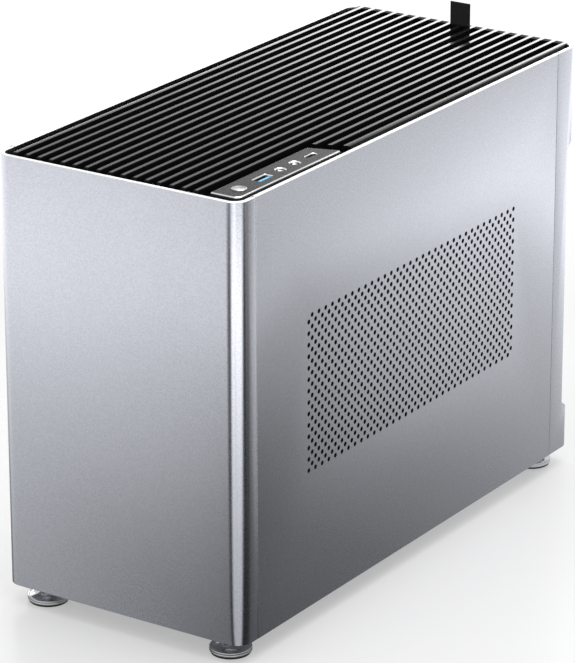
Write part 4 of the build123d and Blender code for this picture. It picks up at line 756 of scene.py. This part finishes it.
# Power button: a plain turned disc with a raised rim.
button_low, button_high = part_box("power_button")
button_centre = ((button_low.x + button_high.x) / 2, (button_low.y + button_high.y) / 2, button_low.z)
button_height = (button_high.z - button_low.z) / MM
BUTTON_PROFILE = [
    (0.0, 0.0), (5.6, 0.0), (5.7, 0.1), (5.7, 2.2), (5.6, 2.3), (4.6, 2.3), (4.5, 2.4),
    (4.5, button_height - 0.45), (4.42, button_height - 0.36), (4.05, button_height - 0.04),
    (3.95, button_height), (3.75, button_height - 0.03), (3.68, button_height - 0.12),
    (3.6, button_height - 0.3), (2.4, button_height - 0.36), (1.2, button_height - 0.42),
    (0.0, button_height - 0.45),
]
bm = bmesh.new()
lathe(bm, button_centre, [(r * MM, h * MM) for r, h in BUTTON_PROFILE], closed=False)
bmesh.ops.remove_doubles(bm, verts=bm.verts, dist=0.001 * MM)
button_metal = spun_metal("button_metal", button_centre)
show("power_button_shape", bm, [button_metal], BODY_OF["power_button"], "power_button")

# ---- Everything else that keeps its CAD shape ---------------------------------------------------------------

PLAIN = {
    shell_metal: ["bottom_plate"],
    steel_black: ["rear_panel", "top_tray", "motherboard_tray", "supply_case", "supply_bracket"],
    zinc: ["rear_sockets", "io_shield", "card_bracket", "cpu_socket", "floor_screws"],
    nickel: ["cooler_base"],
    plastic_black: [
        "top_fan_frame_front", "top_fan_frame_rear", "cooler_fan_frame", "card_shroud", "card_rotor_front",
        "card_rotor_rear", "rear_inlet", "supply_inlet", "rocker_frame", "rocker_switch", "power_switch",
        "board_slots", "mains_plug",
    ],
    plastic_grey: ["top_rotor_front", "top_rotor_rear", "cooler_rotor", "supply_rotor", "rear_jacks"],
    board_mask: ["motherboard", "card_board", "io_board"],
    fin_metal: ["cooler_fins", "card_heatsink"],
    dark_metal: ["memory_modules", "board_heatsinks", "card_backplate", "thumb_screws"],
    brass: ["standoffs"],
    jacket: ["mains_lead", "panel_cable"],
    braid: ["main_power_cable"],
}
for material, nodes in PLAIN.items():
    for node in nodes:
        polished(node, material, None)

# ---- Feet -------------------------------------------------------------------------------------------------

FOOT_PROFILE = [
    (2.05, 14.0), (2.05, 1.3), (12.15, 1.3), (12.38, 1.36), (12.54, 1.52), (12.6, 1.75), (12.6, 2.34),
    (12.54, 2.42), (12.38, 2.5), (12.35, 2.55), (12.38, 2.6), (12.54, 2.68), (12.6, 2.76), (12.6, 3.62),
    (12.55, 3.8), (12.42, 3.96), (12.22, 4.06), (12.0, 4.09), (11.8, 4.04), (11.6, 3.96), (11.3, 3.89),
    (10.8, 3.87), (10.2, 3.92), (9.5, 4.06), (8.8, 4.3), (8.1, 4.66), (7.45, 5.1), (6.8, 5.65), (6.2, 6.3),
    (5.65, 7.05), (5.2, 7.85), (4.92, 8.6), (4.8, 9.3), (4.8, 13.8), (4.6, 14.0),
]
RING_PROFILE = [
    (6.6, 0.15), (6.75, 0.0), (11.6, 0.0), (11.76, 0.06), (11.8, 0.25), (11.8, 1.05), (11.76, 1.24),
    (11.6, 1.3), (6.75, 1.3), (6.6, 1.15),
]
FOOT_RADIUS = 12.6 * MM
foot_low, foot_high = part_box("feet")
for node, profile, material in (("feet", FOOT_PROFILE, chrome), ("foot_rings", RING_PROFILE, rubber)):
    bm = bmesh.new()
    for x in (foot_low.x + FOOT_RADIUS, foot_high.x - FOOT_RADIUS):
        for y in (foot_low.y + FOOT_RADIUS, foot_high.y - FOOT_RADIUS):
            lathe(bm, (x, y, 0.0), [(radius * MM, height * MM) for radius, height in profile])
    show(node + "_shape", bm, [material], BODY_OF[node], node, smooth=40.0)

# ---- Studio -----------------------------------------------------------------------------------------------
#
# The floor glows, with one pattern for reflections and another for every other ray, and a card behind the
# object shows in reflections only. Their levels were set against the photo's grey levels.


def stage_plane(name, size, place, material):
    """A flat level rectangle of the studio, which isn't part of the object."""
    bm = bmesh.new()
    corners = ((-1, -1), (1, -1), (1, 1), (-1, 1))
    bm.faces.new([bm.verts.new((x * size[0] / 2, y * size[1] / 2, 0.0)) for x, y in corners])
    mesh = bpy.data.meshes.new(name)
    bm.to_mesh(mesh)
    bm.free()
    mesh.materials.append(material)
    obj = bpy.data.objects.new(name, mesh)
    obj.location = place
    bpy.context.scene.collection.objects.link(obj)
    return obj


def ramp(finish, value, interpolation, stops):
    """A value looked up along a ramp of (place, level) stops."""
    made = finish.node("ShaderNodeValToRGB")
    finish.link(value, made.inputs["Fac"])
    made.color_ramp.interpolation = interpolation
    elements = made.color_ramp.elements
    while len(elements) < len(stops):
        elements.new(0.5)
    for element, (place, level) in zip(elements, stops):
        element.position = place
        element.color = (level, level, level, 1.0)
    return made.outputs["Color"]


def card_glow(finish, centre, sectors):
    """How brightly the floor's card glows, from the distance and direction of a point on the floor."""
    apart = finish.node("ShaderNodeVectorMath", operation="SUBTRACT")
    finish.link(finish.node("ShaderNodeNewGeometry").outputs["Position"], apart.inputs[0])
    apart.inputs[1].default_value = centre
    split = finish.node("ShaderNodeSeparateXYZ")
    finish.link(apart.outputs["Vector"], split.inputs["Vector"])
    length = finish.node("ShaderNodeVectorMath", operation="LENGTH")
    finish.link(apart.outputs["Vector"], length.inputs[0])
    turn = finish.combine("ARCTAN2", split.outputs["Y"], split.outputs["X"])
    turn = finish.spread(turn, 0.0, 1.0, -math.pi, math.pi)
    total = 0.0
    for by_distance, by_turn in sectors:
        level = ramp(finish, length.outputs["Value"], "LINEAR", by_distance)
        share = ramp(finish, turn, "EASE", [(0.5 + degrees / 360, value) for degrees, value in by_turn])
        total = finish.combine("ADD", total, finish.combine("MULTIPLY", level, share))
    return total


def ray_mix(finish, surface, gloss_colour, strength):
    """What gloss rays meet is a glowing card; every other ray meets the surface."""
    glow = finish.node("ShaderNodeEmission")
    glow.inputs["Color"].default_value = (*gloss_colour, 1.0)
    finish.link(strength, glow.inputs["Strength"])
    mixed = finish.node("ShaderNodeMixShader")
    finish.link(finish.node("ShaderNodeLightPath").outputs["Is Glossy Ray"], mixed.inputs[0])
    finish.link(surface, mixed.inputs[1])
    finish.link(glow.outputs["Emission"], mixed.inputs[2])
    finish.link(mixed.outputs["Shader"], finish.tree.nodes["Material Output"].inputs["Surface"])


# Each glow has levels by distance in metres, and shares by direction in degrees from the +X axis.
# The floor's own glow is lower within about half a metre of the object than farther out: painted shade round
# its base.
FLOOR_GLOW = ([(0.25, 0.37), (0.45, 0.34), (1.0, 0.52)], [(-180, 1.0), (180, 1.0)])
NEAR_CORNER = (0.085, -0.189, 0.0)
FRONT_CARD = (
    [(0.03, 0.21), (0.3, 0.64), (0.75, 1.12), (1.0, 1.27)],
    [(-180, 1.2), (-140, 1.05), (-124, 0.95), (-118, 0.85), (-110, 0.08), (-10, 0.0), (180, 0.0)],
)
CORNER_CARD = ([(0.03, 0.66), (0.4, 1.25), (1.0, 2.0)], [(-92, 0.0), (-82, 1.0), (-14, 1.0), (-4, 0.0)])
SIDE_CARD = (
    [(0.03, 0.12), (0.17, 0.2), (0.3, 0.35), (0.47, 0.64), (0.72, 0.95), (1.0, 1.62)],
    [(10, 0.0), (17, 0.17), (46, 0.22), (54, 0.52), (59, 0.62), (66, 0.95), (72, 1.0), (180, 1.0)],
)
WHITE = (1.0, 1.0, 1.0, 1.0)
floor_finish = Finish("floor", (0.42, 0.42, 0.422), 0.3, Specular_IOR_Level=0.25, Emission_Color=WHITE)
floor_finish.roughen(floor_finish.noise(3.0), 0.27, 0.34)
plain_glow = card_glow(floor_finish, (0.0, 0.0, 0.0), [FLOOR_GLOW])
floor_finish.link(plain_glow, floor_finish.shader.inputs["Emission Strength"])
glow = card_glow(floor_finish, NEAR_CORNER, [FRONT_CARD, CORNER_CARD, SIDE_CARD])
ray_mix(floor_finish, floor_finish.shader.outputs["BSDF"], (0.985, 0.99, 1.0), glow)
stage_plane("floor", (16.0, 16.0), (0.0, 0.0, 0.0), floor_finish.material)

BACK_CARD_SIZE = (1.28, 0.42)
BACK_CARD_PLACE = (-0.56, 0.5, 0.54)
BACK_CARD_FALL = [(0.385, 1.0), (0.425, 0.6), (0.445, 0.38), (0.485, 0.22), (0.52, 0.16)]  # by height
BACK_CARD_POWER = 4.5
back_card = Finish("back_card", (0.0, 0.0, 0.0), 1.0)
height = back_card.node("ShaderNodeSeparateXYZ")
back_card.link(back_card.node("ShaderNodeNewGeometry").outputs["Position"], height.inputs["Vector"])
fall = ramp(back_card, height.outputs["Z"], "LINEAR", BACK_CARD_FALL)
back_glow = back_card.node("ShaderNodeEmission")
back_card.link(back_card.combine("MULTIPLY", fall, BACK_CARD_POWER), back_glow.inputs["Strength"])
back_card.link(back_glow.outputs["Emission"], back_card.tree.nodes["Material Output"].inputs["Surface"])
card = stage_plane("back_card", BACK_CARD_SIZE, BACK_CARD_PLACE, back_card.material)
card.rotation_euler = (math.radians(90), 0.0, 0.0)
for rays in ("visible_camera", "visible_diffuse", "visible_shadow", "visible_transmission"):
    setattr(card, rays, False)

# White surroundings, a little darker in reflections.
SKY_IN_REFLECTIONS = 0.9
world = bpy.data.worlds.new("studio")
bpy.context.scene.world = world
world.use_nodes = True
sky = world.node_tree
paper = sky.nodes["Background"]
paper.inputs["Color"].default_value = WHITE
paper.inputs["Strength"].default_value = 1.0
dim = sky.nodes.new("ShaderNodeBackground")
dim.inputs["Strength"].default_value = SKY_IN_REFLECTIONS
choose = sky.nodes.new("ShaderNodeMixShader")
sky.links.new(sky.nodes.new("ShaderNodeLightPath").outputs["Is Glossy Ray"], choose.inputs[0])
sky.links.new(paper.outputs["Background"], choose.inputs[1])
sky.links.new(dim.outputs["Background"], choose.inputs[2])
sky.links.new(choose.outputs["Shader"], sky.nodes["World Output"].inputs["Surface"])


def area_light(name, place, target, size, power):
    """A soft rectangular light aimed at a place, and not seen itself."""
    data = bpy.data.lights.new(name, "AREA")
    data.shape = "RECTANGLE"
    data.size, data.size_y = size
    data.energy = power
    data.spread = math.radians(180.0)
    obj = bpy.data.objects.new(name, data)
    obj.location = place
    obj.rotation_euler = (Vector(target) - Vector(place)).to_track_quat("-Z", "Y").to_euler()
    bpy.context.scene.collection.objects.link(obj)
    obj.visible_camera = False


area_light("overhead", (0.3, 0.2, 1.9), (0.0, 0.0, 0.2), (1.6, 1.6), 22.0)

bpy.context.scene.view_settings.view_transform = "Standard"
